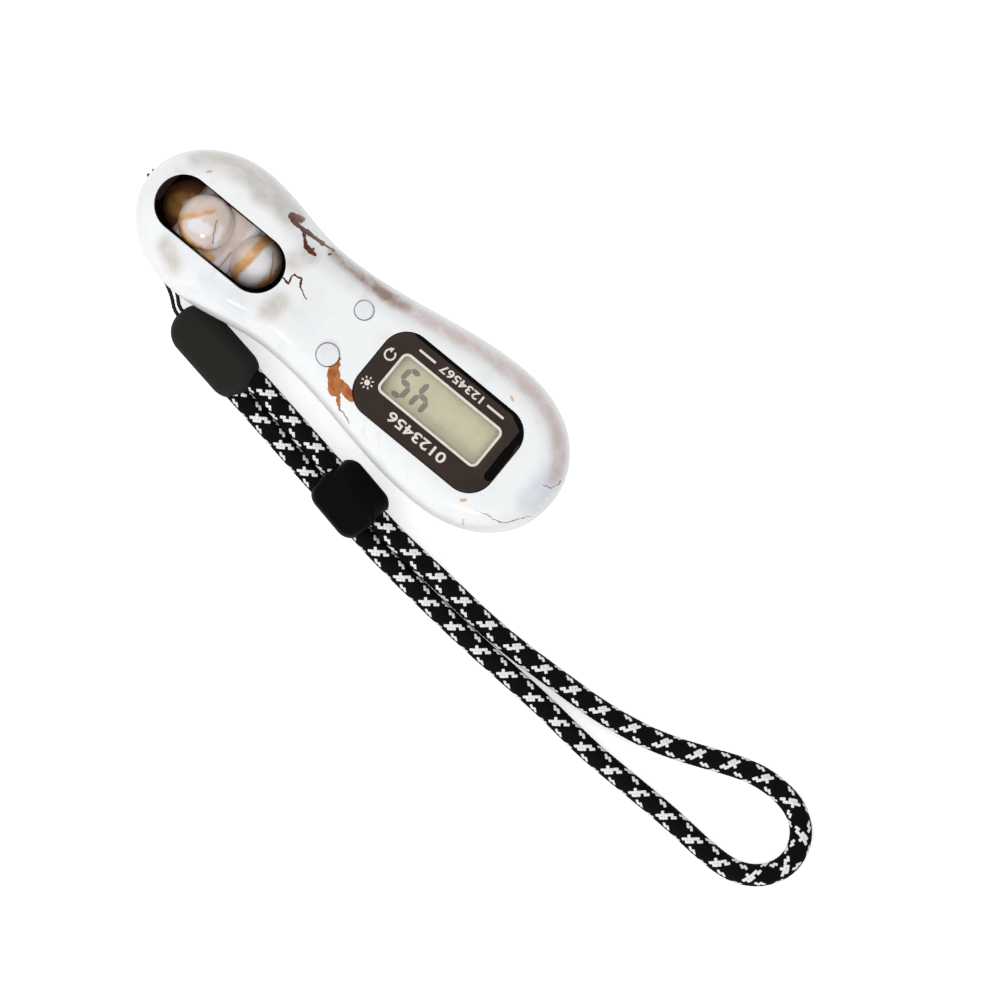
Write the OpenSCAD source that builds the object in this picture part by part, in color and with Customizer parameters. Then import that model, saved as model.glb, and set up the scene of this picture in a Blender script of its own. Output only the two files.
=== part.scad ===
// Digital hand tally counter: a peanut-shaped two-shell body with a four-bead
// thumb wheel, two push buttons, a small display and a corded wrist strap.
// Millimetres. The head with the wheel is at -X, the display at +X and the
// face at +Z. The origin is on the flat back, under the middle of the body.

/* [Body outline] */
// Length of the body
body_length = 88; // [84:0.5:96]
// Width at the head
head_width = 25.8; // [25:0.2:30]
// Width at the waist
waist_width = 20.9; // [20:0.1:23]
// Width at the tail
tail_width = 29.3; // [28:0.1:34]
// Distance from the head's tip to its widest place
head_end = 15.7; // [14:0.1:18]
// Distance from the tail's tip to its widest place
tail_end = 18.1; // [16:0.1:20]
// Distance from the head's tip to the waist
waist_at = 34.3; // [32:0.1:38]
// Squareness of the tail's end, where 2 is an ellipse
tail_square = 2.15; // [2:0.05:2.4]

/* [Body section] */
// Height of the face over the wheel
head_top = 24.5; // [23:0.1:26]
// Height of the face at the display
deck_top = 20.5; // [20:0.1:23]
// Distance from the head's tip to where the face starts to fall
step_start = 23; // [21:0.1:26]
// Distance from the head's tip to where the face has fallen to the deck
step_end = 39; // [38:0.1:41]
// Height of the parting line between the shells
parting_z = 11; // [10.5:0.1:12]
// Width of the rounded edge round the face
front_edge = 5.5; // [5:0.1:6]
// Width of the rounded edge round the back
back_edge = 6.5; // [5.5:0.1:7]
// Squareness of the rounded edges, where 2 is an ellipse
edge_square = 2.2; // [2:0.05:2.6]
// Wall of the shells
wall = 1.5; // [1.3:0.05:1.8]
// Thickness of the tongue that joins the shells
lip = 0.75; // [0.6:0.05:0.85]
// Height of the tongue
lip_height = 1; // [0.6:0.1:1.4]

/* [Thumb wheel] */
// Number of beads on the wheel
bead_count = 4; // [3:1:5]
// Diameter of a bead
bead_d = 9.6; // [9:0.1:10]
// Radius of the circle of bead centres
bead_orbit = 7.8; // [7.6:0.1:8.3]
// Diameter of the drum that carries the beads
drum_d = 14.6; // [13:0.1:15.4]
// Width of the drum
drum_width = 9.4; // [9:0.1:10.2]
// Tilt of the uppermost bead at rest
rest_tilt = 23.5; // [0:0.5:45]
// Room between the wheel and the head's tip
tip_room = 3.4; // [2.9:0.05:4]
// Gap between the wheel and the floor of the rear shell
floor_gap = 0.45; // [0.3:0.05:1]
// Gap at each end of the thumb window
window_end_gap = 0.3; // [0.3:0.05:0.8]
// Gap at each side of the thumb window
window_side_gap = 0.2; // [0.2:0.05:0.8]
// Diameter of the axle
axle_d = 2; // [1.6:0.1:2.4]
// Radial running clearance of the wheel on its axle
axle_clearance = 0.05; // [0.02:0.01:0.1]
// Diameter of the magnets in the drum
magnet_d = 3; // [2:0.1:3.2]
// Thickness of the magnets
magnet_t = 2; // [1.5:0.1:2.5]
// Thickness of the cradle's cheeks
cheek_t = 1.4; // [1.2:0.1:1.6]
// Thickness of the washers beside the wheel
washer_t = 0.3; // [0.2:0.05:0.5]

/* [Buttons] */
// Diameter of the light button
light_d = 3.8; // [3.4:0.1:4.2]
// Diameter of the reset button
reset_d = 3.1; // [2.8:0.1:3.6]
// Share of the way from the waist screws to the display at which the buttons sit
buttons_share = 0.59; // [0.5:0.01:0.65]
// Distance of the light button from the middle line
light_out = 4.3; // [4.2:0.1:5]
// Distance of the reset button from the middle line
reset_out = 5.4; // [5:0.1:5.6]
// How far the buttons stand out of the face
button_proud = 0.6; // [0.5:0.05:1]
// Travel of the buttons
button_travel = 0.5; // [0.3:0.05:0.6]
// Gap round the buttons
button_gap = 0.2; // [0.15:0.05:0.35]
// Width of the flange that keeps a button in the shell
button_flange = 0.7; // [0.5:0.05:0.8]
// Side of the square key switches on the board
switch_side = 4.2; // [4:0.1:4.5]
// Height of the key switches
switch_height = 1.9; // [1.7:0.1:2.2]

/* [Display] */
// Length of the display's black panel
panel_length = 28.7; // [28:0.1:30]
// Width of the panel
panel_width = 16.3; // [15.8:0.1:17]
// Corner radius of the panel
panel_corner = 4.6; // [3:0.1:5]
// Thickness of the panel
panel_t = 1.2; // [1:0.05:1.4]
// Distance from the tail's tip to the near end of the panel
panel_at = 10.2; // [9.6:0.1:10.4]
// Length of the clear window in the panel
view_length = 20.6; // [19:0.1:21]
// Width of the clear window
view_width = 7.35; // [6.5:0.05:7.8]
// Shift of the clear window from the panel's middle towards +Y
view_shift = 0.5; // [0:0.1:0.8]
// Length of the display glass
lcd_length = 26; // [25:0.1:26.4]
// Width of the display glass
lcd_width = 11.8; // [11.2:0.1:12]
// Thickness of the display glass
lcd_t = 2; // [1.8:0.1:2.4]
// Thickness of the circuit board
board_t = 1; // [0.8:0.1:1.2]

/* [Battery] */
// Diameter of a cell
cell_d = 11.6; // [11:0.1:11.8]
// Height of a cell
cell_height = 3.05; // [2.8:0.05:3.2]
// Diameter of the round battery cover
cover_d = 15; // [14.8:0.1:15.6]
// Thickness of the cover
cover_t = 1.4; // [1.3:0.05:1.6]
// Turn that frees the cover
cover_turn = 50; // [40:1:60]
// Distance from the tail's tip to the middle of the cover
cover_at = 20; // [19:0.1:21]

/* [Screws] */
// Diameter of the shell screws
screw_d = 2; // [1.6:0.1:2.2]
// Diameter of the shell screws' heads
screw_head_d = 3.8; // [3.2:0.1:4]
// Diameter of the screw bosses
boss_d = 4.8; // [4.4:0.1:5]
// Distance of the waist screws from the middle line
waist_screw_out = 4.6; // [4.5:0.1:4.8]
// Distance of the tail screws from the middle line
tail_screw_out = 5.2; // [5:0.1:5.6]
// Distance of the tail screws from the tail's tip
tail_screw_at = 7; // [6.6:0.1:7.2]

/* [Wrist strap] */
// Diameter of the braided cord
cord_d = 3.8; // [3.2:0.1:4]
// Diameter of the thin string
string_d = 0.7; // [0.5:0.05:0.8]
// Length of the strap's end cap
cap_length = 17.7; // [16.5:0.1:19]
// Width of the end cap
cap_width = 9.4; // [9.2:0.1:10]
// Thickness of the end cap
cap_t = 5.6; // [5.2:0.1:6]
// Length of the slider on the doubled cord
slider_length = 11.6; // [9:0.1:13]
// Width of the slider
slider_width = 10; // [9.6:0.1:10.6]
// Thickness of the slider
slider_t = 6.2; // [5.9:0.1:6.8]
// Distance of the slider from the middle of the end cap
slider_at = 34; // [30:0.5:38]
// Diameter of the pin that the string is looped on
eye_pin_d = 2.1; // [2:0.1:2.2]

/* [Hidden] */
$fn = 48;

// A hair that cuts run past a face, a loose fit and a close one
over = 0.5;
loose = 0.1;
close = 0.03;

// Places along the body
tip = body_length / 2;
x_head = head_end - tip;
x_waist = waist_at - tip;
x_tail = tip - tail_end;
head_half = head_width / 2;
waist_half = waist_width / 2;
tail_half = tail_width / 2;

// Steps of the outline and of the rounded edges
end_steps = 9;
head_steps = 6;
tail_steps = 8;
edge_steps = 7;

// The wheel and what carries it
sweep_r = bead_orbit + bead_d / 2;
x_wheel = tip_room + sweep_r - tip;
axle_z = wall + floor_gap + sweep_r;
wheel_width = max(drum_width, bead_d);
window_length = 2 * (sweep_r + window_end_gap);
window_width = wheel_width + 2 * window_side_gap;
hub_boss_d = axle_d + 2.8;
washer_in = wheel_width / 2 + close;
cheek_in = washer_in + washer_t + close;
cheek_out = cheek_in + cheek_t;
clip_t = 0.4;
clip_rim = 1;
clip_mouth = 1.4;
axle_half = cheek_out + clip_t + 0.3;
magnet_orbit = 5.5;
hub_r = 3.2;
foot_half = 2.2;
foot_z = wall + 0.35;
web_low = wall + 1.6;
web_gap = 0.4;
web_t = 1.4;
web_x = x_wheel + sweep_r + web_gap;
web_top = parting_z - 1;
tab_t = 1.2;
tab_half = 1.9;
tab_screw_r = 1.5;
tab_screw_x = web_x + web_t + tab_screw_r + loose;
tab_length = 2 * tab_screw_r + 2 * loose;

// The display stack, from the face down
panel_low = deck_top - panel_t;
x_panel = tip - panel_at - panel_length / 2;
lcd_top = panel_low - loose;
lcd_low = lcd_top - lcd_t;
pad_margin = 1.2;
pad_t = 1.6;
lcd_room = 0.2;
guide_t = 0.9;
guide_length = view_length + 1;
guide_width = view_width + 0.4;
guide_low = lcd_low - close - guide_t;
strip_t = 1.6;
strip_inset = 0.1;
board_low = parting_z + 0.7;
board_top = board_low + board_t;

// The board's outline
board_half = 8;
board_post_out = 1.6;
board_tail = tip - panel_at + board_post_out;
tongue_half = 1.9;
sensor_r = 0.9;
sensor_length = 9;
sensor_x = web_x + web_t / 2 + loose;
board_screw_d = 1.6;
board_screw_depth = 3.5;
board_screw_head_d = 3;
board_screw_head_t = 0.8;
board_post_d = 3.2;

// The shell screws
screw_sink = 0.9;
screw_head_t = 1.3;
shank_top = parting_z + 5;
x_waist_screw = sensor_x + sensor_r + boss_d / 2 + 0.2;
shell_screw_places = [
    for (side = [-1, 1]) [x_waist_screw, side * waist_screw_out],
    for (side = [-1, 1]) [tip - tail_screw_at, side * tail_screw_out]
];
board_head = x_waist_screw + boss_d / 2 + 2 * loose;

// The buttons, with guides under the face that their flanges rest against
buttons_low = x_waist_screw + boss_d / 2;
buttons_high = x_panel - panel_length / 2 - pad_margin;
x_buttons = buttons_low + buttons_share * (buttons_high - buttons_low);
board_screws_x = [x_buttons + 2.7, board_tail];
guide_depth = 1.6;
ceiling = deck_top - wall - guide_depth;
flange_t = 0.8;
flange_top = ceiling - close;
flange_low = flange_top - flange_t;
plunger_d = 2.2;
plunger_low = board_top + 1.4;
plunger_top = board_top + switch_height + 0.8;
stem_d = 2;

// The battery well and its cover
x_cover = tip - cover_at;
cover_gap = 0.15;
cover_low = 0.1;
cover_top = cover_low + cover_t;
ledge_low = cover_top + cover_gap;
ledge_t = 1.4;
ledge_top = ledge_low + ledge_t;
collar_t = 0.7;
collar_r = cell_d / 2 + 0.3 + collar_t;
lug_reach = 0.6;
lug_width = 3.2;
lug_t = 0.9;
lug_low = ledge_top + loose;
well_r = collar_r + lug_reach + 0.2;
well_wall = 1.2;
well_top = parting_z - 1.2;
seal_d = 0.6;
seal_r = cover_d / 2 - seal_d / 2 + 0.05;
plate_t = 0.25;
cells_low = cover_top + plate_t + close;
cells_top = cells_low + 2 * cell_height + close;
leaf_t = 0.3;

// The eye for the string at the head's tip
eye_r = eye_pin_d / 2 + string_d / 2 + 0.03;
x_eye = 1.25 - tip;
eye_z = 7.2;
eye_room = eye_r + string_d / 2 + 0.1;
eye_half = 1.9;
eye_wall = 0.8;
strand_gap = 0.55;

// The strap lies beside the body, rolled a little against it
strap_place = [-16.6, -16.6, 3.95];
strap_heading = -9;
strap_roll = 20;

// The slider's block is turned and rolled further than the cords in it, and
// it lies on its lower edge with its middle beside and above theirs
slider_turn = -1.5;
slider_roll = 33;
slider_corner = 2;
slider_lift = 0.07;
slider_half_height = slider_corner + (slider_width / 2 - slider_corner) * sin(slider_roll)
    + (slider_t / 2 - slider_corner) * cos(slider_roll);
slider_shift = [0, 0.4, slider_half_height + slider_lift - strap_place[2]];
pair_half = cord_d / 2 + 0.05;
cord_seat = 6;
string_seat = 2.4;
string_room = 0.03;
cord_room = 0.12;

// Smooth step from 0 to 1
function ease(t) = let (c = min(1, max(0, t))) c * c * (3 - 2 * c);

// Height of the face's middle line at x
function crown(x) = head_top
    + (deck_top - head_top) * ease((x + tip - step_start) / (step_end - step_start));

// Height inside the face's wall over a post at x
function roof(x) = crown(x + boss_d / 2) - wall / 2;

function unit(v) = v / norm(v);

// The +Y half of the outline from the head's tip to the tail's tip, each
// entry [x, y, outward normal x, outward normal y]
function head_arc(a) = let (n = unit([-cos(a) / head_end, sin(a) / head_half]))
    [x_head - head_end * cos(a), head_half * sin(a), n[0], n[1]];

function tail_arc(a) = let (
    e = 2 / tail_square,
    n = unit([cos(a) ^ (2 - e) / tail_end, sin(a) ^ (2 - e) / tail_half]))
    [x_tail + tail_end * cos(a) ^ e, tail_half * sin(a) ^ e, n[0], n[1]];

// A half cosine from one half-width to another
function blend(x0, x1, y0, y1, u) = let (
    slope = (y1 - y0) / (x1 - x0) * PI / 2 * sin(180 * u),
    n = unit([-slope, 1]))
    [x0 + (x1 - x0) * u, y0 + (y1 - y0) * (1 - cos(180 * u)) / 2, n[0], n[1]];

half_outline = concat(
    [for (i = [0:end_steps]) head_arc(90 * i / end_steps)],
    [for (i = [1:head_steps]) blend(x_head, x_waist, head_half, waist_half, i / head_steps)],
    [for (i = [1:tail_steps]) blend(x_waist, x_tail, waist_half, tail_half, i / tail_steps)],
    [for (i = [end_steps - 1:-1:0]) tail_arc(90 * i / end_steps)]
);
last = len(half_outline) - 1;
outline = concat(half_outline,
    [for (i = [last - 1:-1:1]) let (p = half_outline[i]) [p[0], -p[1], p[2], -p[3]]]);

// Rows of a shell's skin, each [inset from the outline, share of the height,
// what the height is short of, lift above the parting plane]
function edge_in(k) = 1 - cos(90 * k / edge_steps) ^ (2 / edge_square);
function edge_up(k) = sin(90 * k / edge_steps) ^ (2 / edge_square);
function skin_rows(edge, rim) = concat(
    [for (k = [edge_steps:-1:0]) [edge * edge_in(k), edge_up(k), 0, 0]],
    rim,
    [for (k = [1:edge_steps]) [wall + (edge - wall) * edge_in(k), edge_up(k), wall, 0]]);

front_rim = [[lip, 0, 0, 0], [lip, 0, 0, lip_height + close], [wall, 0, 0, lip_height + close]];
rear_rim = [[lip + close, 0, 0, 0], [lip + close, 0, 0, lip_height], [wall, 0, 0, lip_height]];

// A point of the outline drawn in and lifted by a row, side 1 up or -1 down
function skin_point(p, row, side) = let (
    x = p[0] - p[2] * row[0],
    y = p[1] - p[3] * row[0],
    height = side > 0 ? crown(x) - parting_z : parting_z)
    [x, y, parting_z + side * (height - row[2]) * row[1] + row[3]];

// Half a hollow body: the rows carried round the outline, and a cap that
// joins the two sides across the middle, inside and out
module half_shell(rows, side) {
    turn = len(outline);
    deep = len(rows);
    points = [for (p = outline) for (row = rows) skin_point(p, row, side)];
    bands = [for (q = [0:turn - 1]) for (r = [0:deep - 2]) let (
        a = q * deep + r,
        b = (q + 1) % turn * deep + r)
        [a, a + 1, b + 1, b]];
    caps = [for (i = [0:last - 1]) for (r = [0, deep - 1]) let (
        a = i * deep + r,
        b = (i + 1) * deep + r,
        c = (turn - i - 1) % turn * deep + r,
        d = (turn - i) % turn * deep + r)
        r == 0 ? [a, b, c, d] : [d, c, b, a]];
    quads = concat(bands, caps);
    triangles = [for (f = quads) for (t = [[f[0], f[1], f[2]], [f[0], f[2], f[3]]])
        if (t[0] != t[1] && t[1] != t[2] && t[0] != t[2]) side > 0 ? t : [t[2], t[1], t[0]]];
    polyhedron(points, triangles);
}

// A rounded rectangle about the origin
module rounded(length, width, corner) {
    square([length - 2 * corner, width], center = true);
    square([length, width - 2 * corner], center = true);
    for (sx = [-1, 1])
        for (sy = [-1, 1])
            translate([sx * (length / 2 - corner), sy * (width / 2 - corner)])
                circle(corner);
}

// A rounded plate from one height to another
module plate(length, width, corner, low, high) {
    translate([0, 0, low])
        linear_extrude(high - low)
            rounded(length, width, corner);
}

// A slab between two corners
module slab(low, high) {
    translate(low)
        cube(high - low);
}

// A round post from one height to another
module post(d, low, high) {
    translate([0, 0, low])
        cylinder(d = d, h = high - low);
}

// A rod along Y about the origin
module rod_y(d, length) {
    rotate([90, 0, 0])
        cylinder(d = d, h = length, center = true);
}

// A ring along Y about the origin
module ring_y(outer, inner, length) {
    difference() {
        rod_y(outer, length);
        rod_y(inner, length + 2 * over);
    }
}

module at_wheel() {
    translate([x_wheel, 0, axle_z])
        children();
}

module at_panel() {
    translate([x_panel, 0, 0])
        children();
}

module at_view() {
    translate([x_panel, view_shift, 0])
        children();
}

module at_light() {
    translate([x_buttons, -light_out, 0])
        children();
}

module at_reset() {
    translate([x_buttons, reset_out, 0])
        children();
}

module at_cover() {
    translate([x_cover, 0, 0])
        children();
}

module at_each(places) {
    for (p = places)
        translate([p[0], p[1], 0])
            children();
}

module at_board_screws() {
    for (x = board_screws_x)
        translate([x, 0, 0])
            children();
}

module window_cut() {
    run = window_length - window_width;
    translate([x_wheel, 0, parting_z + lip_height])
        linear_extrude(head_top) {
            square([run, window_width], center = true);
            for (side = [-1, 1])
                translate([side * run / 2, 0])
                    circle(d = window_width);
        }
}

module front_shell() {
    color("whitesmoke")
    difference() {
        union() {
            half_shell(skin_rows(front_edge, front_rim), 1);
            at_panel()
                plate(panel_length + 2 * pad_margin, panel_width + 2 * pad_margin,
                    panel_corner + pad_margin, panel_low - pad_t, panel_low);
            for (p = shell_screw_places)
                at_each([p])
                    post(boss_d, parting_z + close, roof(p[0]));
            at_board_screws()
                post(board_post_d, board_top + close, deck_top - wall / 2);
            at_light()
                post(flange_d(light_d), ceiling, deck_top - wall / 2);
            at_reset()
                post(flange_d(reset_d), ceiling, deck_top - wall / 2);
        }
        window_cut();
        at_panel()
            plate(panel_length + 2 * loose, panel_width + 2 * loose, panel_corner + loose,
                panel_low, deck_top + over);
        at_view()
            plate(lcd_length + 2 * lcd_room, lcd_width + 2 * lcd_room, 1,
                panel_low - pad_t - over, panel_low + over);
        at_light()
            post(light_d + 2 * button_gap, ceiling - over, deck_top + over);
        at_reset()
            post(reset_d + 2 * button_gap, ceiling - over, deck_top + over);
        at_each(shell_screw_places)
            post(screw_d + 2 * close, parting_z - over, shank_top + over);
        at_board_screws()
            post(board_screw_d + 2 * close, board_top - over, board_top + board_screw_depth + over);
    }
}

module eye_pocket() {
    slab([-tip - over, -eye_half, eye_z - eye_room],
        [x_eye + eye_room, eye_half, eye_z + eye_room]);
    translate([x_eye, 0, eye_z])
        rod_y(eye_pin_d + 2 * close, 2 * (eye_half + eye_wall / 2 + close));
}

module rear_shell() {
    boss_low = wall / 2;
    eye_inner = wall - tip;
    color("ghostwhite")
    difference() {
        union() {
            half_shell(skin_rows(back_edge, rear_rim), -1);
            at_cover()
                post(2 * (well_r + well_wall), boss_low, well_top);
            at_each(shell_screw_places)
                post(boss_d, boss_low, parting_z);
            translate([tab_screw_x, 0, 0])
                post(2 * tab_screw_r + 1, boss_low, web_low - close);
            slab([eye_inner, -eye_half - eye_wall, eye_z - eye_room - eye_wall],
                [x_eye + eye_room + eye_wall, eye_half + eye_wall, eye_z + eye_room + eye_wall]);
        }
        at_cover() {
            post(cover_d + 2 * cover_gap, -over, ledge_low);
            post(2 * (collar_r + cover_gap), 0, ledge_top + over);
            post(2 * well_r, ledge_top, well_top + over);
            rotate(cover_turn)
                slab([-well_r, -lug_width / 2 - 0.3, 0], [well_r, lug_width / 2 + 0.3, ledge_top + over]);
        }
        at_each(shell_screw_places) {
            post(screw_d + 2 * loose, -over, parting_z + over);
            post(screw_head_d + 2 * loose, -over, screw_sink + screw_head_t);
        }
        translate([tab_screw_x, 0, 0])
            post(screw_d + 2 * close, wall, web_low + over);
        eye_pocket();
    }
}

module display_panel() {
    color([0.12, 0.1, 0.09])
    difference() {
        at_panel()
            plate(panel_length, panel_width, panel_corner, panel_low, deck_top);
        at_view()
            plate(view_length, view_width, 0.8, panel_low - over, deck_top + over);
    }
}

module display_window() {
    color([0.8, 0.78, 0.66])
    at_view()
        plate(view_length - 2 * close, view_width - 2 * close, 0.8 - close, panel_low, deck_top);
}

module display_glass() {
    color("darkkhaki")
    at_view()
        plate(lcd_length, lcd_width, 0.4, lcd_low, lcd_top);
}

module contact_strips() {
    color("dimgray")
    at_view()
        for (side = [-1, 1])
            translate([0, side * (lcd_width / 2 - strip_inset - strip_t / 2), 0])
                slab([-lcd_length / 2 + 1, -strip_t / 2, board_top],
                    [lcd_length / 2 - 1, strip_t / 2, lcd_low]);
}

module light_guide() {
    color("azure")
    at_view()
        plate(guide_length, guide_width, 0.5, guide_low, guide_low + guide_t);
}

module display_lamp() {
    lamp_size = [1.5, 3, guide_t + 0.4];
    leg_d = 0.5;
    leg_out = 1;
    lamp_x = -guide_length / 2 - loose - lamp_size[0];
    lamp_top = guide_low + guide_t;
    color("lightyellow")
    at_view() {
        slab([lamp_x, -lamp_size[1] / 2, lamp_top - lamp_size[2]],
            [lamp_x + lamp_size[0], lamp_size[1] / 2, lamp_top]);
        for (side = [-1, 1])
            translate([lamp_x + lamp_size[0] / 2, side * leg_out, 0])
                post(leg_d, board_top, guide_low);
    }
}

module circuit_board() {
    sensor_half = sensor_length / 2 + 1;
    color("darkgreen")
    difference() {
        union() {
            slab([board_head, -board_half, board_low], [board_tail - 1.5, board_half, board_top]);
            slab([board_tail - 2, -2.6, board_low], [board_tail + 1.8, 2.6, board_top]);
            slab([sensor_x, -tongue_half, board_low], [board_head + over, tongue_half, board_top]);
            slab([sensor_x - sensor_r, -sensor_half, board_low],
                [sensor_x + sensor_r, sensor_half, board_top]);
        }
        at_board_screws()
            post(board_screw_d + 2 * loose, board_low - over, board_top + over);
    }
}

module chip_cover() {
    chip_r = 6;
    chip_rise = 1.6;
    color([0.08, 0.08, 0.08])
    translate([x_panel, view_shift, board_top])
        intersection() {
            translate([0, 0, chip_rise - chip_r])
                sphere(chip_r);
            post(2 * chip_r, 0, chip_r);
        }
}

module key_switch() {
    difference() {
        slab([-switch_side / 2, -switch_side / 2, board_top],
            [switch_side / 2, switch_side / 2, board_top + switch_height]);
        post(plunger_d + 2 * close, board_top + 0.8, board_top + switch_height + over);
    }
}

module light_switch() {
    color("gray")
    at_light()
        key_switch();
}

module reset_switch() {
    color("gray")
    at_reset()
        key_switch();
}

module count_sensor() {
    color("honeydew")
    translate([sensor_x, 0, board_top + sensor_r]) {
        rod_y(2 * sensor_r, sensor_length);
        rod_y(0.5, sensor_length + 1.6);
    }
}

module board_screws() {
    color("silver")
    at_board_screws() {
        post(board_screw_d, board_low - over, board_top + board_screw_depth);
        post(board_screw_head_d, board_low - board_screw_head_t, board_low);
    }
}

module bead_wheel() {
    color("bisque")
    at_wheel()
        difference() {
            union() {
                rod_y(drum_d, drum_width);
                rod_y(hub_boss_d, wheel_width);
                for (i = [0:bead_count - 1])
                    rotate([0, i * 360 / bead_count - rest_tilt, 0])
                        translate([0, 0, bead_orbit])
                            sphere(d = bead_d);
            }
            rod_y(axle_d + 2 * axle_clearance, 2 * sweep_r);
            at_each_magnet()
                rod_y(magnet_d, magnet_t);
        }
}

// A place in the drum's +Y side under each bead
module at_each_magnet() {
    for (i = [0:bead_count - 1])
        rotate([0, i * 360 / bead_count - rest_tilt, 0])
            translate([0, drum_width / 2 - magnet_t / 2, magnet_orbit])
                children();
}

module count_magnets() {
    color("lightgray")
    at_wheel()
        at_each_magnet()
            translate([0, -close, 0])
                rod_y(magnet_d - 2 * close, magnet_t - 2 * close);
}

module wheel_axle() {
    color("silver")
    at_wheel()
        rod_y(axle_d, 2 * axle_half);
}

module wheel_washers() {
    color("ivory")
    at_wheel()
        for (side = [-1, 1])
            translate([0, side * (washer_in + washer_t / 2), 0])
                ring_y(hub_boss_d, axle_d + 2 * close, washer_t);
}

module axle_clips() {
    color("gray")
    at_wheel()
        for (side = [-1, 1])
            translate([0, side * (cheek_out + close + clip_t / 2), 0])
                difference() {
                    ring_y(axle_d + 2 * clip_rim, axle_d + 2 * close, clip_t);
                    slab([-clip_mouth / 2, -clip_t, 0], [clip_mouth / 2, clip_t, axle_d + clip_rim]);
                }
}

module cradle_cheek() {
    rotate([90, 0, 0])
        linear_extrude(cheek_t, center = true) {
            translate([x_wheel, axle_z])
                circle(hub_r);
            polygon([[x_wheel - hub_r, axle_z], [x_wheel - foot_half, foot_z],
                [x_wheel + foot_half, foot_z], [x_wheel + foot_half + 1, web_low],
                [web_x + web_t, web_low], [web_x + web_t, web_top],
                [web_x, web_top], [x_wheel + hub_r, axle_z]]);
        }
}

module wheel_cradle() {
    color("lightslategray")
    difference() {
        union() {
            for (side = [-1, 1])
                translate([0, side * (cheek_in + cheek_t / 2), 0])
                    cradle_cheek();
            slab([web_x, -cheek_out, web_low], [web_x + web_t, cheek_out, web_top]);
            slab([web_x, -tab_half, web_low], [web_x + web_t + tab_length, tab_half, web_low + tab_t]);
        }
        at_wheel()
            rod_y(axle_d + 2 * close, 2 * axle_half);
        translate([tab_screw_x, 0, 0])
            post(screw_d + 2 * loose, web_low - over, web_low + tab_t + over);
    }
}

module cradle_screw() {
    color("silver")
    translate([tab_screw_x, 0, 0]) {
        post(screw_d, wall + 0.2, web_low + tab_t);
        post(2 * tab_screw_r, web_low + tab_t, web_low + tab_t + 1.1);
    }
}

function flange_d(d) = d + 2 * (button_gap + button_flange);

// A round cap with a flange under its guide and a stem down to its switch
module push_button(d) {
    crown_t = 0.35;
    top = deck_top + button_proud;
    post(d, flange_low, top - crown_t);
    translate([0, 0, top - crown_t])
        cylinder(d1 = d, d2 = d - 2 * crown_t, h = crown_t);
    post(flange_d(d), flange_low, flange_top);
    post(stem_d, plunger_top + close, flange_low + over);
}

module light_button() {
    color("white")
    at_light()
        push_button(light_d);
}

module reset_button() {
    color("white")
    at_reset()
        push_button(reset_d);
}

module plunger() {
    post(plunger_d, plunger_low, plunger_top);
}

module light_plunger() {
    color("orangered")
    at_light()
        plunger();
}

module reset_plunger() {
    color("orangered")
    at_reset()
        plunger();
}

// A round cover with a coin slot, a collar and two bayonet lugs
module battery_cover() {
    lug_top = lug_low + lug_t;
    slot_half = [4.6, 0.8];
    slot_depth = 0.7;
    color("ghostwhite")
    at_cover()
        difference() {
            union() {
                post(cover_d, cover_low, cover_top);
                post(2 * collar_r, cover_low, lug_top);
                slab([-collar_r - lug_reach, -lug_width / 2, lug_low],
                    [collar_r + lug_reach, lug_width / 2, lug_top]);
            }
            post(2 * (collar_r - collar_t), cover_top, lug_top + over);
            slab([-slot_half[0], -slot_half[1], -over],
                [slot_half[0], slot_half[1], cover_low + slot_depth]);
            translate([0, 0, (cover_low + cover_top) / 2])
                rotate_extrude()
                    translate([seal_r - seal_d / 2 - close, -seal_d / 2 - close])
                        square([seal_d + over, seal_d + 2 * close]);
        }
}

module cover_seal() {
    color([0.1, 0.1, 0.1])
    at_cover()
        translate([0, 0, (cover_low + cover_top) / 2])
            rotate_extrude()
                translate([seal_r, 0])
                    circle(d = seal_d);
}

module cover_contact() {
    color("gold")
    at_cover()
        post(cell_d - 0.4, cover_top, cover_top + plate_t);
}

module button_cells() {
    color("silver")
    at_cover()
        for (i = [0, 1]) {
            low = cells_low + i * (cell_height + close);
            post(cell_d - 1.6, low, low + 0.3);
            post(cell_d, low + 0.3, low + cell_height);
        }
}

// A leaf under the board whose bent end presses on the upper cell
module cell_top_contact() {
    leaf_half = 1.5;
    bend = 3;
    color("gold")
    at_cover()
        rotate([90, 0, 0])
            linear_extrude(2 * leaf_half, center = true)
                polygon([[-5, board_low], [bend, board_low], [bend + leaf_t, board_low - leaf_t],
                    [leaf_t - 2, cells_top + close], [-3, cells_top + close],
                    [-3, cells_top + close + leaf_t], [-2, cells_top + close + leaf_t],
                    [bend - leaf_t, board_low - leaf_t], [-5, board_low - leaf_t]]);
}

module cell_side_contact() {
    strip_half = 1.5;
    reach = cell_d / 2 + loose;
    color("gold")
    at_cover()
        slab([-reach - leaf_t, -strip_half, lug_low + lug_t + 0.4], [-reach, strip_half, board_low]);
}

module shell_screws() {
    color("silver")
    at_each(shell_screw_places) {
        post(screw_d, screw_sink + screw_head_t, shank_top);
        difference() {
            post(screw_head_d, screw_sink, screw_sink + screw_head_t);
            for (turn = [0, 90])
                rotate(turn)
                    slab([-1.1, -0.25, 0], [1.1, 0.25, screw_sink + 0.6]);
        }
    }
}

module eye_pin() {
    color("silver")
    translate([x_eye, 0, eye_z])
        rod_y(eye_pin_d, 2 * (eye_half + eye_wall / 2));
}

// A point of the strap's straight stretch: along it, and across the pair
function on_strap(along, across) = strap_place + [
    along * cos(strap_heading) - across * cos(strap_roll) * sin(strap_heading),
    along * sin(strap_heading) + across * cos(strap_roll) * cos(strap_heading),
    across * sin(strap_roll)];

module at_strap(along) {
    translate(on_strap(along, 0))
        rotate([0, 0, strap_heading])
            rotate([strap_roll, 0, 0])
                children();
}

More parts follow.
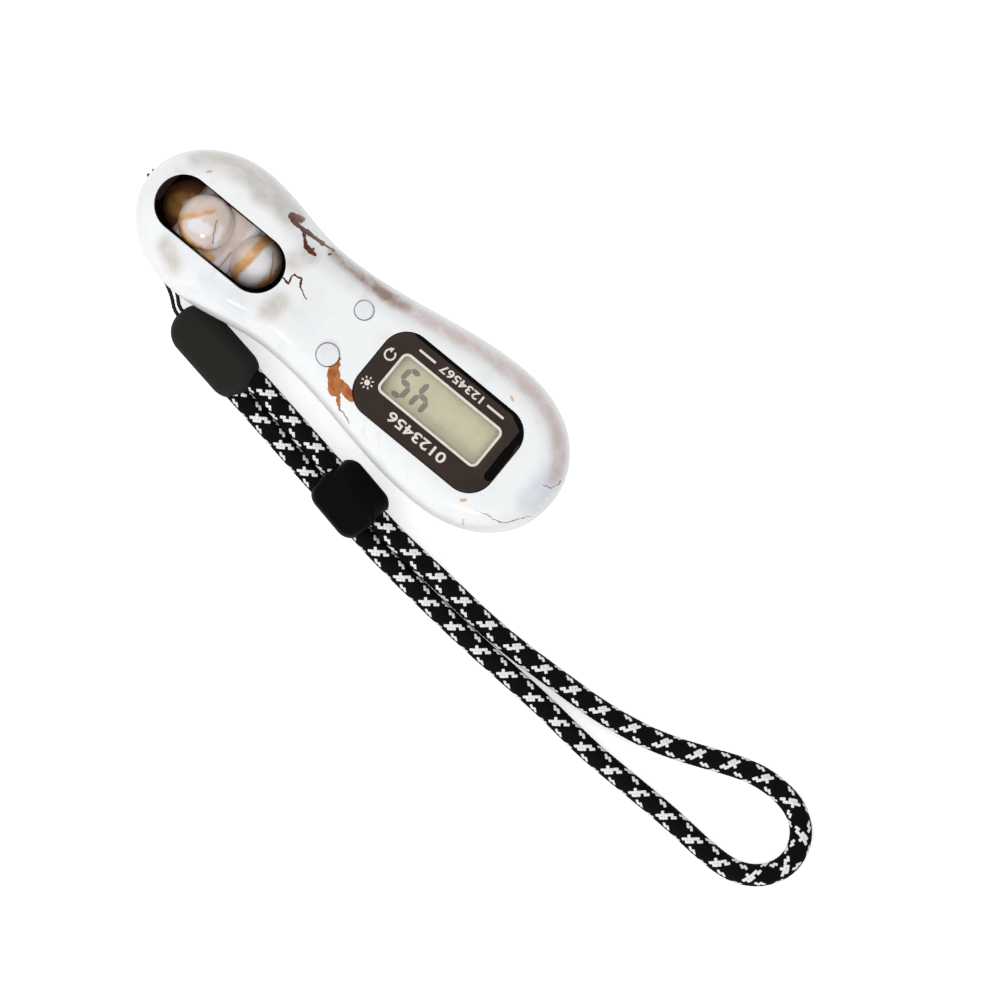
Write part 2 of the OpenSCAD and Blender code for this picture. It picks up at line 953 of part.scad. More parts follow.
cord_mouth = cap_length / 2 - cord_seat;
string_mouth = string_seat - cap_length / 2;

// The doubled cord's route: out of the cap, through the slider, round the
// wrist loop on the table, and back
cord_route = concat(
    [for (s = [cord_mouth, 10, 18, 26, slider_at, 43]) on_strap(s, pair_half)],
    [[37.5, -22.4, 3], [50.8, -23.3, 2], [63.8, -22.9, 1.95], [72.7, -22.3, 1.95],
        [79, -21.3, 1.95], [84.2, -20, 1.95], [89.3, -18.1, 1.95], [94.2, -16, 1.95],
        [99.2, -14.1, 1.95], [104.1, -13.4, 1.95], [108.6, -14, 1.95], [112, -16.1, 1.95],
        [113.9, -19.5, 1.95], [113.8, -23.3, 1.95], [111.7, -26.6, 1.95], [108.2, -28.7, 1.95],
        [104, -29.3, 1.95], [99.5, -29.2, 1.95], [94.2, -28.9, 1.95], [88.4, -28.8, 1.95],
        [82.1, -28.8, 1.95], [75.7, -28.7, 1.95], [69.4, -28.2, 1.95], [62.9, -27.7, 1.95],
        [50, -27.2, 1.95], [37, -26.3, 2.4]],
    [for (s = [43, slider_at, 26, 18, 10, cord_mouth]) on_strap(s, -pair_half)]);

// The string's route: under the head's edge to the eye at its tip, once
// round the pin, and back beside itself
pin_turn = [for (i = [0:6]) let (a = 180 - 45 * i)
    [x_eye + eye_r * cos(a), strand_gap * (i / 3 - 1), eye_z + eye_r * sin(a)]];
string_route = concat(
    [on_strap(string_mouth, -strand_gap), on_strap(-9.6, -strand_gap)],
    [[-28.1, -14.3, 2.6], [-31.4, -12.6, 1], [-34.8, -10.9, 0.5], [-38.2, -8.5, 0.5],
        [-40.9, -5.6, 0.5], [-42.7, -2.8, 1], [-43.8, -1.2, 2.7], [-44.2, -0.6, 4.9]],
    pin_turn,
    [[-43.8, 0.6, 5.3], [-44.2, 0.5, 4], [-43.7, 0.1, 2.4], [-42.6, -1, 0.9],
        [-41.4, -2.9, 0.5], [-39.7, -5.4, 0.5], [-37.5, -7.7, 0.5], [-34.3, -10, 0.5],
        [-31, -11.6, 1], [-27.6, -13.4, 2.8]],
    [on_strap(-9.6, strand_gap), on_strap(string_mouth, strand_gap)]);

// Directions along a route, and sideways vectors that turn with it
function heading(route, i) = unit(route[min(i + 1, len(route) - 1)] - route[max(i - 1, 0)]);
function carried(route, i) = i == 0
    ? unit(cross([0, 0, 1], heading(route, 0)))
    : let (t = heading(route, i), v = carried(route, i - 1)) unit(v - (v * t) * t);

// A tube swept along a route as one closed skin
module tube(route, d, sides) {
    rings = len(route);
    sideways = [for (i = [0:rings - 1]) carried(route, i)];
    points = [for (i = [0:rings - 1]) let (
        t = heading(route, i),
        u = sideways[i],
        v = cross(t, u))
        for (k = [0:sides - 1]) let (a = 360 * k / sides)
            route[i] + d / 2 * (cos(a) * u + sin(a) * v)];
    skin = [for (i = [0:rings - 2]) for (k = [0:sides - 1]) let (
        a = i * sides + k,
        b = i * sides + (k + 1) % sides,
        c = b + sides,
        e = a + sides)
        for (f = [[a, e, c], [a, c, b]]) f];
    first_end = [for (k = [1:sides - 2]) [0, k, k + 1]];
    far = (rings - 1) * sides;
    last_end = [for (k = [1:sides - 2]) [far, far + k + 1, far + k]];
    polyhedron(points, concat(skin, first_end, last_end));
}

module strap_string() {
    color([0.06, 0.06, 0.06])
    tube(string_route, string_d, 8);
}

module strap_cord() {
    color([0.06, 0.06, 0.06])
    tube(cord_route, cord_d, 10);
}

// A bar about the origin, along X, with round corners and a full round edge
module pebble(length, width, thick, corner) {
    edge = thick / 2;
    hull()
        for (sx = [-1, 1])
            for (sy = [-1, 1])
                translate([sx * (length / 2 - corner), sy * (width / 2 - corner), 0])
                    rotate_extrude($fn = 40)
                        intersection() {
                            translate([corner - edge, 0])
                                circle(edge, $fn = 24);
                            translate([0, -edge])
                                square([corner, thick]);
                        }
}

// A block about the origin with its edges rounded in each of the three views
module brick(size, corner) {
    intersection() {
        linear_extrude(size[2], center = true)
            rounded(size[0], size[1], corner);
        rotate([90, 0, 0])
            linear_extrude(size[1], center = true)
                rounded(size[0], size[2], corner);
        rotate([90, 0, 90])
            linear_extrude(size[0], center = true)
                rounded(size[1], size[2], corner);
    }
}

module rod_x(d, low, high) {
    translate([low, 0, 0])
        rotate([0, 90, 0])
            cylinder(d = d, h = high - low);
}

module strap_end_cap() {
    corner = 4.2;
    color([0.15, 0.14, 0.13])
    at_strap(0)
        difference() {
            pebble(cap_length, cap_width, cap_t, corner);
            for (side = [-1, 1]) {
                translate([0, side * pair_half, 0])
                    rod_x(cord_d + 2 * close, cord_mouth, cap_length);
                translate([0, side * strand_gap, 0])
                    rod_x(string_d + 2 * string_room, -cap_length, string_mouth);
            }
        }
}

module strap_slider() {
    bore = cord_d + 2 * cord_room;
    color([0.05, 0.05, 0.05])
    difference() {
        translate(on_strap(slider_at, 0))
            rotate([0, 0, strap_heading + slider_turn])
                translate(slider_shift)
                    rotate([slider_roll, 0, 0])
                        brick([slider_length, slider_width, slider_t], slider_corner);
        at_strap(slider_at)
            rotate([90, 0, 90])
                linear_extrude(2 * slider_length, center = true) {
                    square([2 * pair_half, bore], center = true);
                    for (side = [-1, 1])
                        translate([side * pair_half, 0])
                            circle(d = bore);
                }
    }
}

front_shell();
rear_shell();
display_panel();
display_window();
display_glass();
contact_strips();
light_guide();
display_lamp();
circuit_board();
chip_cover();
light_switch();
reset_switch();
count_sensor();
board_screws();
bead_wheel();
count_magnets();
wheel_axle();
wheel_washers();
axle_clips();
wheel_cradle();
cradle_screw();
light_button();
light_plunger();
reset_button();
reset_plunger();
battery_cover();
cover_seal();
cover_contact();
button_cells();
cell_top_contact();
cell_side_contact();
shell_screws();
eye_pin();
strap_string();
strap_end_cap();
strap_cord();
strap_slider();
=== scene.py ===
"""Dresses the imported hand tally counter: marbled shells, bead wheel, display, buttons and wrist strap.

Sizes in the code are millimetres, and every mesh is put down in metres, in the frame's own axes:
the head with the wheel is at -X, the display at +X and the face at +Z.
"""

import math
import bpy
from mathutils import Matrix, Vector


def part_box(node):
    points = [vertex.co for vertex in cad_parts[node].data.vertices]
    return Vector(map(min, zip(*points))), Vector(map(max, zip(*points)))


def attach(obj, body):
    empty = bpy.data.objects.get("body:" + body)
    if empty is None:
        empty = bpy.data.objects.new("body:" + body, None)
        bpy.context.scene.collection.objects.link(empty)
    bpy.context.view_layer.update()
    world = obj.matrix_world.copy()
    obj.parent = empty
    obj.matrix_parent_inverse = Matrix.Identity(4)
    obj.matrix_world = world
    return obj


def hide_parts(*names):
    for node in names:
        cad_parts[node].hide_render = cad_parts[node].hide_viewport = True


bl_info = {
    "name": "Hand Tally Counter",
    "version": (1, 0, 0),
    "blender": (4, 5, 0),
    "location": "View3D > Sidebar > Tally Counter",
    "description": "Builds the finished surfaces of a hand tally counter on its frame",
    "category": "Object",
}

from types import SimpleNamespace

import bmesh
import bpy
import numpy as np
from bpy.props import FloatProperty, FloatVectorProperty, IntProperty, PointerProperty
from mathutils import Matrix, Vector
from mathutils.geometry import delaunay_2d_cdt

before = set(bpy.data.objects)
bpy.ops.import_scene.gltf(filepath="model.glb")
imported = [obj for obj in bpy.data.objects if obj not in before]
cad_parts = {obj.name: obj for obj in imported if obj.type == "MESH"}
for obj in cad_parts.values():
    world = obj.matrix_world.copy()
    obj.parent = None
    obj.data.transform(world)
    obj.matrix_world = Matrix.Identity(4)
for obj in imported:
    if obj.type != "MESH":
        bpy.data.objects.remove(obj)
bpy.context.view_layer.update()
MM = 0.001


def length(name, description, size_mm):
    """A length property, given here in millimetres and kept in metres."""
    return FloatProperty(name=name, description=description, default=size_mm * MM, min=0.0,
                         precision=5, unit="LENGTH")


def angle(name, description, degrees):
    """An angle property, given here in degrees and kept in radians."""
    return FloatProperty(name=name, description=description, default=math.radians(degrees),
                         subtype="ANGLE")


def number(name, description, value):
    """A plain number property."""
    return FloatProperty(name=name, description=description, default=value)


def colour(name, description, red, green, blue):
    """A colour property, given here as a screen shows it, 0 to 255, and kept linear."""
    value = np.array([red, green, blue]) / 255
    value = np.where(value <= 0.04045, value / 12.92, ((value + 0.055) / 1.055) ** 2.4)
    return FloatVectorProperty(name=name, description=description, default=value.tolist(), size=3,
                               min=0.0, max=1.0, subtype="COLOR")


def node_box(name):
    """Lowest and highest corner of a node at rest, in millimetres."""
    low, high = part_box(name)
    return np.array(low) / MM, np.array(high) / MM


def node_middle(name):
    """Middle of a node's box at rest, in millimetres."""
    return sum(node_box(name)) / 2


def node_size(name, axis):
    """Size of a node's box along one axis, in millimetres."""
    low, high = node_box(name)
    return float(high[axis] - low[axis])


class BodySizes(bpy.types.PropertyGroup):
    """Outline and section of the two-shell body."""

    body_length: length("Length", "Length of the body", 88)
    head_width: length("Head width", "Width at the head", 25.8)
    waist_width: length("Waist width", "Width at the waist", 20.9)
    tail_width: length("Tail width", "Width at the tail", 29.3)
    head_end: length("Head end", "From the head's tip to its widest place", 15.7)
    tail_end: length("Tail end", "From the tail's tip to its widest place", 18.1)
    waist_at: length("Waist place", "From the head's tip to the waist", 34.3)
    tail_square: number("Tail squareness", "Exponent of the tail's end, 2 for an ellipse", 2.15)
    head_top: length("Head height", "Height of the face over the wheel", 24.5)
    deck_top: length("Deck height", "Height of the face at the display", 20.5)
    step_start: length("Step start", "From the head's tip to where the face starts to fall", 23)
    step_end: length("Step end", "From the head's tip to where the face has fallen", 39)
    parting_z: length("Parting line", "Height of the line between the shells", 11)
    front_edge: length("Front edge", "Width of the rounded edge round the face", 5.5)
    back_edge: length("Back edge", "Width of the rounded edge round the back", 6.5)
    edge_square: number("Edge squareness", "Exponent of the rounded edges", 2.2)
    wall: length("Wall", "Wall of the shells", 1.5)
    face_rim: length("Face rims", "Rounding of the edges round the openings in the face", 0.14)
    back_rim: length("Back rims", "Rounding of the edges round the openings in the back", 0.2)


class WheelSizes(bpy.types.PropertyGroup):
    """The bead wheel and its window."""

    bead_count: IntProperty(name="Beads", description="Number of beads on the wheel", default=4, min=3)
    bead_d: length("Bead", "Diameter of a bead", 9.6)
    bead_orbit: length("Bead circle", "Radius of the circle of bead centres", 7.8)
    drum_d: length("Drum", "Diameter of the drum", 14.6)
    drum_width: length("Drum width", "Width of the drum", 9.4)
    rest_tilt: angle("Rest tilt", "Tilt of the uppermost bead at rest", 23.5)
    window_length: length("Window length", "Length of the thumb window", 25.8)
    window_width: length("Window width", "Width of the thumb window", 10.0)


class DisplaySizes(bpy.types.PropertyGroup):
    """The display panel, its window and its print."""

    panel_corner: length("Panel corner", "Corner radius of the panel", 4.6)
    panel_edge: length("Panel edge", "Rounding of the panel's upper edge", 0.35)
    view_length: length("View length", "Length of the clear window", 20.6)
    view_width: length("View width", "Width of the clear window", 7.35)
    view_corner: length("View corner", "Corner radius of the clear window", 0.8)
    view_shift: length("View shift", "Shift of the clear window towards +Y", 0.5)
    line_width: length("Line width", "Width of the pale line round the window", 0.46)
    digit_height: length("Digit height", "Height of a digit between the middles of its bars", 5.0)
    digit_width: length("Digit width", "Width of a digit between the middles of its bars", 2.0)
    bar_width: length("Bar width", "Width of a digit's bars", 0.94)
    print_rise: length("Print rise", "Height of the print over the panel", 0.025)


class StrapSizes(bpy.types.PropertyGroup):
    """The wrist strap."""

    cord_d: length("Cord", "Diameter of the braided cord", 3.8)
    string_d: length("String", "Diameter of the thin string", 0.7)
    braid_pitch: length("Braid pitch", "Length of one turn of the braid's yarns", 12.1)
    braid_yarns: IntProperty(name="Yarns", description="Yarns each way in the braid", default=16, min=8)
    braid_rise: length("Braid rise", "Height of the yarns' relief", 0.11)
    cap_length: length("Cap length", "Length of the end cap", 17.7)
    cap_width: length("Cap width", "Width of the end cap", 9.4)
    cap_t: length("Cap thickness", "Thickness of the end cap", 5.6)
    cap_corner: length("Cap corner", "Corner radius of the end cap", 4.2)
    slider_length: length("Slider length", "Length of the slider along the cords", 11.6)
    slider_width: length("Slider width", "Width of the slider", 10)
    slider_t: length("Slider thickness", "Thickness of the slider", 6.2)
    slider_corner: length("Slider corner", "Rounding of the slider", 2)
    slider_crest: length("Slider crest", "Rounding of the slider's upper edge", 0.6)
    slider_turn: angle("Slider turn", "Turn of the slider from the cords' heading", -1.5)
    slider_roll: angle("Slider roll", "Roll of the slider about the cords", 33)


class Finishes(bpy.types.PropertyGroup):
    """Main colours of the finishes."""

    marble: colour("Marble", "Ground of the marbled shells", 247, 249, 250)
    # The blue, beige, taupe and mauve clouds also paint shade on the body's rims and tail tip
    marble_blue: colour("Marble blue", "Bluish clouds in the marble", 210, 217, 228)
    marble_beige: colour("Marble beige", "Beige clouds in the marble", 206, 198, 190)
    marble_taupe: colour("Marble taupe", "Brown-grey edges in the marble", 160, 136, 122)
    marble_mauve: colour("Marble mauve", "Pinkish edges in the marble", 200, 172, 166)
    marble_rust: colour("Marble rust", "Rust-brown cracks", 72, 24, 10)
    marble_ochre: colour("Marble ochre", "Ochre patches", 168, 88, 42)
    bead_white: colour("Bead white", "Milky white of the beads", 236, 233, 238)
    bead_pink: colour("Bead pink", "Pinkish ground of the beads", 226, 208, 199)
    bead_amber: colour("Bead amber", "Amber of the beads", 202, 140, 76)
    panel_black: colour("Panel", "Glossy black of the panel", 66, 56, 51)
    print_pale: colour("Print", "Pale print on the panel", 240, 230, 220)
    lcd_ground: colour("Display ground", "Ground of the display", 212, 204, 170)
    lcd_dark: colour("Display digits", "Dark digits of the display", 116, 110, 88)
    button_white: colour("Buttons", "Gloss white of the buttons", 244, 245, 249)
    cap_black: colour("End cap", "Matt black of the end cap", 28, 26, 22)
    slider_black: colour("Slider", "Black of the slider", 5, 4, 3)
    yarn_black: colour("Dark yarn", "Black yarn of the cord", 9, 8, 9)
    yarn_white: colour("White yarn", "White yarn of the cord", 250, 249, 247)


def in_mm(group):
    """The values of a property group as plain numbers: lengths in millimetres, the rest as they are."""
    values = {}
    for key, prop in group.bl_rna.properties.items():
        if key in ("rna_type", "name"):
            continue
        value = getattr(group, key)
        values[key] = value / MM if getattr(prop, "unit", "NONE") == "LENGTH" else value
    return SimpleNamespace(**values)


def body_sizes():
    """Body sizes in millimetres, with the places along the body that follow from them."""
    s = in_mm(bpy.context.scene.tally_body)
    s.tip = s.body_length / 2
    s.x_head = s.head_end - s.tip
    s.x_waist = s.waist_at - s.tip
    s.x_tail = s.tip - s.tail_end
    return s


# Meshes


def grid_faces(rows, columns, close_rows=False, close_columns=False):
    """Quads of a grid whose vertex (i, j) has index i * columns + j, closed where asked."""
    i = np.arange(rows if close_rows else rows - 1)[:, None]
    j = np.arange(columns if close_columns else columns - 1)[None, :]
    i2, j2 = (i + 1) % rows, (j + 1) % columns
    quads = np.stack([i * columns + j, i2 * columns + j, i2 * columns + j2, i * columns + j2], -1)
    return quads.reshape(-1, 4)


def gather(*parts):
    """Joins (points, faces, finish number) parts into one list of points, faces and finish numbers."""
    points, faces, numbers, start = [], [], [], 0
    for p, f, k in parts:
        points.append(np.asarray(p, float).reshape(-1, 3))
        faces += [[int(i) + start for i in face] for face in f]
        numbers += [k] * len(f)
        start += len(points[-1])
    return np.concatenate(points), faces, numbers


def vertex_places(mesh):
    """Places of a mesh's vertices, one row each."""
    places = np.empty(3 * len(mesh.vertices))
    mesh.vertices.foreach_get("co", places)
    return places.reshape(-1, 3)


def at_height(loop, z):
    """A plan loop of points raised to one height, or to a height for each point."""
    return np.column_stack([loop, np.broadcast_to(z, len(loop))])


def gap_to(points, loop):
    """Distance of points from the nearest point of a loop, worked out in batches."""
    batches = np.array_split(points, 1 + len(points) // 2000)
    return np.concatenate([np.sqrt(((part[:, None] - loop) ** 2).sum(-1).min(1)) for part in batches])


def quarter(steps):
    """A quarter circle of radius 1 from side to top: how far in from the side and under the top."""
    t = np.linspace(0, np.pi / 2, steps)
    return 1 - np.cos(t), 1 - np.sin(t)


def new_mesh(name, points, faces, finishes, numbers=0, weld=True):
    """A mesh given in millimetres; a welded one is closed, so its faces are turned to point outwards."""
    mesh = bpy.data.meshes.new(name)
    points = np.asarray(points, float).reshape(-1, 3) * MM
    mesh.from_pydata(points.tolist(), [], [list(face) for face in faces])
    for finish in finishes:
        mesh.materials.append(finish)
    mesh.polygons.foreach_set("material_index", np.broadcast_to(numbers, len(faces)).astype(np.int32))
    if weld:
        bm = bmesh.new()
        bm.from_mesh(mesh)
        bmesh.ops.remove_doubles(bm, verts=bm.verts, dist=2e-6)
        bmesh.ops.dissolve_degenerate(bm, edges=bm.edges, dist=1e-7)
        bmesh.ops.recalc_face_normals(bm, faces=bm.faces)
        bm.to_mesh(mesh)
        bm.free()
    return mesh


def new_object(name, data):
    """An object with that data, put into the scene."""
    obj = bpy.data.objects.new(name, data)
    bpy.context.scene.collection.objects.link(obj)
    return obj


def piece(name, points, faces, finishes, body, node=None, numbers=0, weld=True, smooth=True,
          pattern=None):
    """Puts a mesh, given in millimetres, into the scene as a piece that rides on a body.

    The piece stands for a node where one is named. A pattern gives each corner of an unwelded
    mesh its place in the piece's own pattern map.
    """
    mesh = new_mesh(name, points, faces, finishes, numbers, weld)
    mesh.polygons.foreach_set("use_smooth", np.full(len(mesh.polygons), smooth))
    if pattern is not None:
        add_pattern(mesh, pattern)
    mesh.update()
    obj = new_object(name, mesh)
    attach(obj, body)
    if node:
        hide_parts(node)
    return obj


def add_pattern(mesh, places):
    """Gives a mesh its pattern map: one pair of numbers for each corner of each face."""
    layer = mesh.uv_layers.new(name="Pattern")
    layer.data.foreach_set("uv", np.asarray(places, np.float32).ravel())


def carve(obj, block, finish_number, operation):
    """Cuts a closed block in millimetres out of a piece, or joins it on, in one of its finishes."""
    mesh = new_mesh("block", *block, obj.data.materials, finish_number)
    tool = new_object("block", mesh)
    modifier = obj.modifiers.new("Carve", "BOOLEAN")
    modifier.object, modifier.operation, modifier.solver = tool, operation, "EXACT"
    result = bpy.data.meshes.new_from_object(obj.evaluated_get(bpy.context.evaluated_depsgraph_get()))
    obj.modifiers.clear()
    old, obj.data = obj.data, result
    name = old.name
    bpy.data.meshes.remove(old)
    result.name = name
    bpy.data.objects.remove(tool)
    bpy.data.meshes.remove(mesh)


def slab(low, high):
    """A plain box between two corners, as points and faces."""
    x, y, z = np.stack([low, high], -1)
    points = np.stack(np.meshgrid(x, y, z, indexing="ij"), -1).reshape(-1, 3)
    return points, [(0, 1, 3, 2), (4, 6, 7, 5), (0, 4, 5, 1), (2, 3, 7, 6), (0, 2, 6, 4), (1, 5, 7, 3)]


def rows_block(rows):
    """Rows of loops of equal length joined into a closed block."""
    n = len(rows[0])
    last = (len(rows) - 1) * n
    faces = grid_faces(len(rows), n, close_columns=True).tolist()
    return np.vstack(rows), faces + [list(range(n)), list(range(last, last + n))]


def revolve(profile, steps):
    """A profile of (radius, height) rows turned about Z: x = r cos a, y = r sin a, z = h."""
    a = np.linspace(0, 2 * np.pi, steps, endpoint=False)
    r, h = np.asarray(profile, float).T[..., None]
    points = np.stack([r * np.cos(a), r * np.sin(a), np.broadcast_to(h, (len(r), steps))], -1)
    return points.reshape(-1, 3), grid_faces(len(r), steps, close_columns=True)[:, ::-1]


def rounded_loop(centre, half, corner, steps):
    """A rounded rectangle as an anticlockwise loop: quarter circles about the four corner centres."""
    a = np.linspace(0, np.pi / 2, steps)
    turn = np.arange(4)[:, None] * np.pi / 2
    sx, sy = np.array([1, -1, -1, 1])[:, None], np.array([1, 1, -1, -1])[:, None]
    x = centre[0] + sx * (half[0] - corner) + corner * np.cos(a + turn)
    y = centre[1] + sy * (half[1] - corner) + corner * np.sin(a + turn)
    return np.stack([x, y], -1).reshape(-1, 2)


def run_along(points):
    """Length of a path up to each of its points."""
    return np.concatenate([[0], np.cumsum(np.linalg.norm(np.diff(points, axis=0), axis=1))])


def even_loop(loop, spacing):
    """A closed loop of points set out again at even steps of about the spacing."""
    closed = np.vstack([loop, loop[:1]])
    run = run_along(closed)
    s = np.linspace(0, run[-1], max(12, int(round(run[-1] / spacing))), endpoint=False)
    return np.stack([np.interp(s, run, column) for column in closed.T], -1)


def smooth_route(route, spacing):
    """A smooth curve through a route's points, at even steps, and the length up to each step.

    The curve is a cubic spline with unbent ends. Its parameter grows by the square root of the
    distance from each point to the next, so that it doesn't overshoot.
    """
    p = np.asarray(route, float)
    h = np.sqrt(np.linalg.norm(np.diff(p, axis=0), axis=1))
    t = np.concatenate([[0], np.cumsum(h)])
    n = len(p)
    system = np.eye(n)
    right = np.zeros_like(p)
    k = np.arange(1, n - 1)
    system[k, k - 1], system[k, k], system[k, k + 1] = h[:-1], 2 * (h[:-1] + h[1:]), h[1:]
    right[1:-1] = 6 * np.diff(np.diff(p, axis=0) / h[:, None], axis=0)
    bend = np.linalg.solve(system, right)
    u = np.linspace(0, t[-1], 60 * n)
    i = np.clip(np.searchsorted(t, u, side="right") - 1, 0, n - 2)
    a, b = (t[i + 1] - u)[:, None], (u - t[i])[:, None]
    step = h[i][:, None]
    curve = (bend[i] * a ** 3 + bend[i + 1] * b ** 3) / (6 * step)
    curve += (p[i] / step - bend[i] * step / 6) * a + (p[i + 1] / step - bend[i + 1] * step / 6) * b
    run = run_along(curve)
    s = np.linspace(0, run[-1], max(8, int(round(run[-1] / spacing))))
    return np.stack([np.interp(s, run, column) for column in curve.T], -1), s


def carried_frames(path):
    """Two sideways vectors at each point of a path, turned as little as possible on the way.

    Each step reflects the last sideways vector twice: across the step's middle plane, then
    across the plane between the reflected and the new tangent.
    """
    tangent = np.gradient(path, axis=0)
    tangent /= np.linalg.norm(tangent, axis=1)[:, None]
    side = np.empty_like(path)
    first = np.cross([0, 0, 1.0], tangent[0])
    side[0] = first / np.linalg.norm(first)
    for i in range(len(path) - 1):
        v = path[i + 1] - path[i]
        c = v @ v
        r = side[i] - (2 / c) * (v @ side[i]) * v
        t = tangent[i] - (2 / c) * (v @ tangent[i]) * v
        w = tangent[i + 1] - t
        d = w @ w
        side[i + 1] = r if d < 1e-12 else r - (2 / d) * (w @ r) * w
    return side, np.cross(tangent, side)


def tube(path, radius, steps):
    """A tube round a path: centre + radius (cos a side + sin a up), with flat closed ends.

    radius may be one number or a grid of one value for each ring and side.
    """
    side, up = carried_frames(path)
    a = np.linspace(0, 2 * np.pi, steps, endpoint=False)
    ring = np.cos(a)[None, :, None] * side[:, None] + np.sin(a)[None, :, None] * up[:, None]
    points = path[:, None] + np.broadcast_to(radius, (len(path), steps))[..., None] * ring
    faces = grid_faces(len(path), steps, close_columns=True)[:, ::-1].tolist()
    last = (len(path) - 1) * steps
    faces.append(list(range(steps)))
    faces.append(list(range(last + steps - 1, last - 1, -1)))
    return points.reshape(-1, 3), faces


# The body's outline and skin

# Size of the sheets' triangles, of the edge at the parting line, and how far beyond the wall's
# thickness the band of rows round a shell ends
SHEET_STEP, PARTING_EDGE, BAND_END = 0.45, 0.07, 0.4
# Rings round a hole, as shares of its rim's rounding
RIM_RINGS = (0, 0.06, 0.2, 0.42, 0.7, 1.0, 1.6)


def ease(t):
    """Smooth step from 0 to 1: 3 t^2 - 2 t^3."""
    t = np.clip(t, 0, 1)
    return t * t * (3 - 2 * t)


def crown(s, x):
    """Height of the face's middle line: the head's height eased down to the deck's."""
    fallen = ease((x + s.tip - s.step_start) / (s.step_end - s.step_start))
    return s.head_top + (s.deck_top - s.head_top) * fallen


def outline(s, spacing):
    """The body's outline as an anticlockwise loop with outward normals.

    The head's end is half an ellipse, the tail's end half a superellipse, and half cosines
    lead from each to the waist.
    """
    a = np.linspace(0, np.pi / 2, 400)
    u = np.linspace(0, 1, 400)
    e = 2 / s.tail_square
    fall = (1 - np.cos(np.pi * u)) / 2

    def flank(x_start, x_end, start, end):
        return [x_start + (x_end - x_start) * u, (start + (end - start) * fall) / 2]

    parts = ([s.x_tail + s.tail_end * np.cos(a) ** e, s.tail_width / 2 * np.sin(a) ** e],
             flank(s.x_tail, s.x_waist, s.tail_width, s.waist_width),
             flank(s.x_waist, s.x_head, s.waist_width, s.head_width),
             [s.x_head - s.head_end * np.sin(a), s.head_width / 2 * np.cos(a)])
    half = np.concatenate([np.stack(part, -1)[:-1] for part in parts])
    far = half[1:][::-1] * [1, -1]
    loop = even_loop(np.vstack([half, [[-s.tip, 0]], far]), spacing)
    step = np.roll(loop, -1, 0) - np.roll(loop, 1, 0)
    normal = np.stack([step[:, 1], -step[:, 0]], -1)
    return loop, normal / np.linalg.norm(normal, axis=1)[:, None]


def inset(s, xy):
    """How far points lie inside the outline: the distance to the nearest of many outline points."""
    return gap_to(xy, outline(s, 0.12)[0])


def share(s, depth, edge):
    """Share of the full height at a depth in from the outline: (1 - (1 - depth / edge)^p)^(1 / p)."""
    t = np.clip(depth / edge, 0, 1)
    return (1 - (1 - t) ** s.edge_square) ** (1 / s.edge_square)


def skin_height(s, side, x, depth, inner):
    """Height of a shell's skin: parting height plus or minus the shell's height there times its share."""
    full = (crown(s, x) - s.parting_z) if side > 0 else np.full_like(x, s.parting_z)
    edge = s.front_edge if side > 0 else s.back_edge
    if inner:
        return s.parting_z + side * (full - s.wall) * share(s, depth - s.wall, edge - s.wall)
    return s.parting_z + side * full * share(s, depth, edge)


def hole_distance(xy, hole):
    """Distance of points from a hole's edge, negative inside: that of a rounded rectangle."""
    centre, half, corner = hole
    q = np.abs(xy - np.asarray(centre)) - (np.asarray(half) - corner)
    return np.linalg.norm(np.maximum(q, 0), axis=1) + np.minimum(q.max(1), 0) - corner


def inside_loop(xy, loop):
    """Whether points lie inside a loop: whether a ray along X crosses it an odd number of times."""
    a, b = loop, np.roll(loop, -1, 0)
    x, y = xy[:, :1], xy[:, 1:]
    spans = (a[None, :, 1] > y) != (b[None, :, 1] > y)
    run = np.where(b[:, 1] == a[:, 1], 1e-12, b[:, 1] - a[:, 1])
    cross = a[None, :, 0] + (y - a[None, :, 1]) * (b[:, 0] - a[:, 0])[None] / run[None]
    return (spans & (x < cross)).sum(1) % 2 == 1


def pierced_sheet(boundary, holes, rings, spacing):
    """A plan triangulation between a boundary loop and holes with rounded rims.

    Rings are offsets round each hole at which the mesh gets a loop of its own. Returns the
    points, the triangles and the loop of point numbers round each hole.
    """
    close = spacing * 0.55
    loops = [boundary]
    for centre, half, corner in holes:
        for k in rings:
            loops.append(even_loop(rounded_loop(centre, np.asarray(half) + k, corner + k, 40), close))
    starts = np.cumsum([0] + [len(loop) for loop in loops])
    numbers = [np.arange(len(loop)) + start for loop, start in zip(loops, starts)]
    edges = [edge for ids in numbers for edge in zip(ids.tolist(), np.roll(ids, -1).tolist())]
    low, high = boundary.min(0), boundary.max(0)
    x, y = np.meshgrid(np.arange(low[0], high[0], spacing), np.arange(low[1], high[1], spacing * 0.866),
                       indexing="ij")
    x = x + (np.arange(x.shape[1]) % 2) * spacing / 2
    free = np.stack([x, y], -1).reshape(-1, 2)
    free = free[inside_loop(free, boundary)]
    free = free[gap_to(free, boundary) > close]
    for hole in holes:
        free = free[hole_distance(free, hole) > rings[-1] + spacing / 2]
    found = delaunay_2d_cdt([Vector(p) for p in np.vstack(loops + [free])], edges, [], 0, 1e-7)
    flat, triangles = np.array([(v.x, v.y) for v in found[0]]), np.array(found[2])
    middle = flat[triangles].mean(1)
    keep = inside_loop(middle, boundary)
    for hole in holes:
        keep &= hole_distance(middle, hole) > 0
    triangles = triangles[keep]
    a, b, c = np.moveaxis(flat[triangles], 1, 0)
    (ux, uy), (vx, vy) = (b - a).T, (c - a).T
    wrong = ux * vy - uy * vx < 0
    triangles[wrong] = triangles[wrong][:, ::-1]
    origin = {source: i for i, sources in enumerate(found[3]) for source in sources}
    rims = [np.array([origin[i] for i in ids.tolist()]) for ids in numbers[1::len(rings)]]
    return flat, triangles, rims


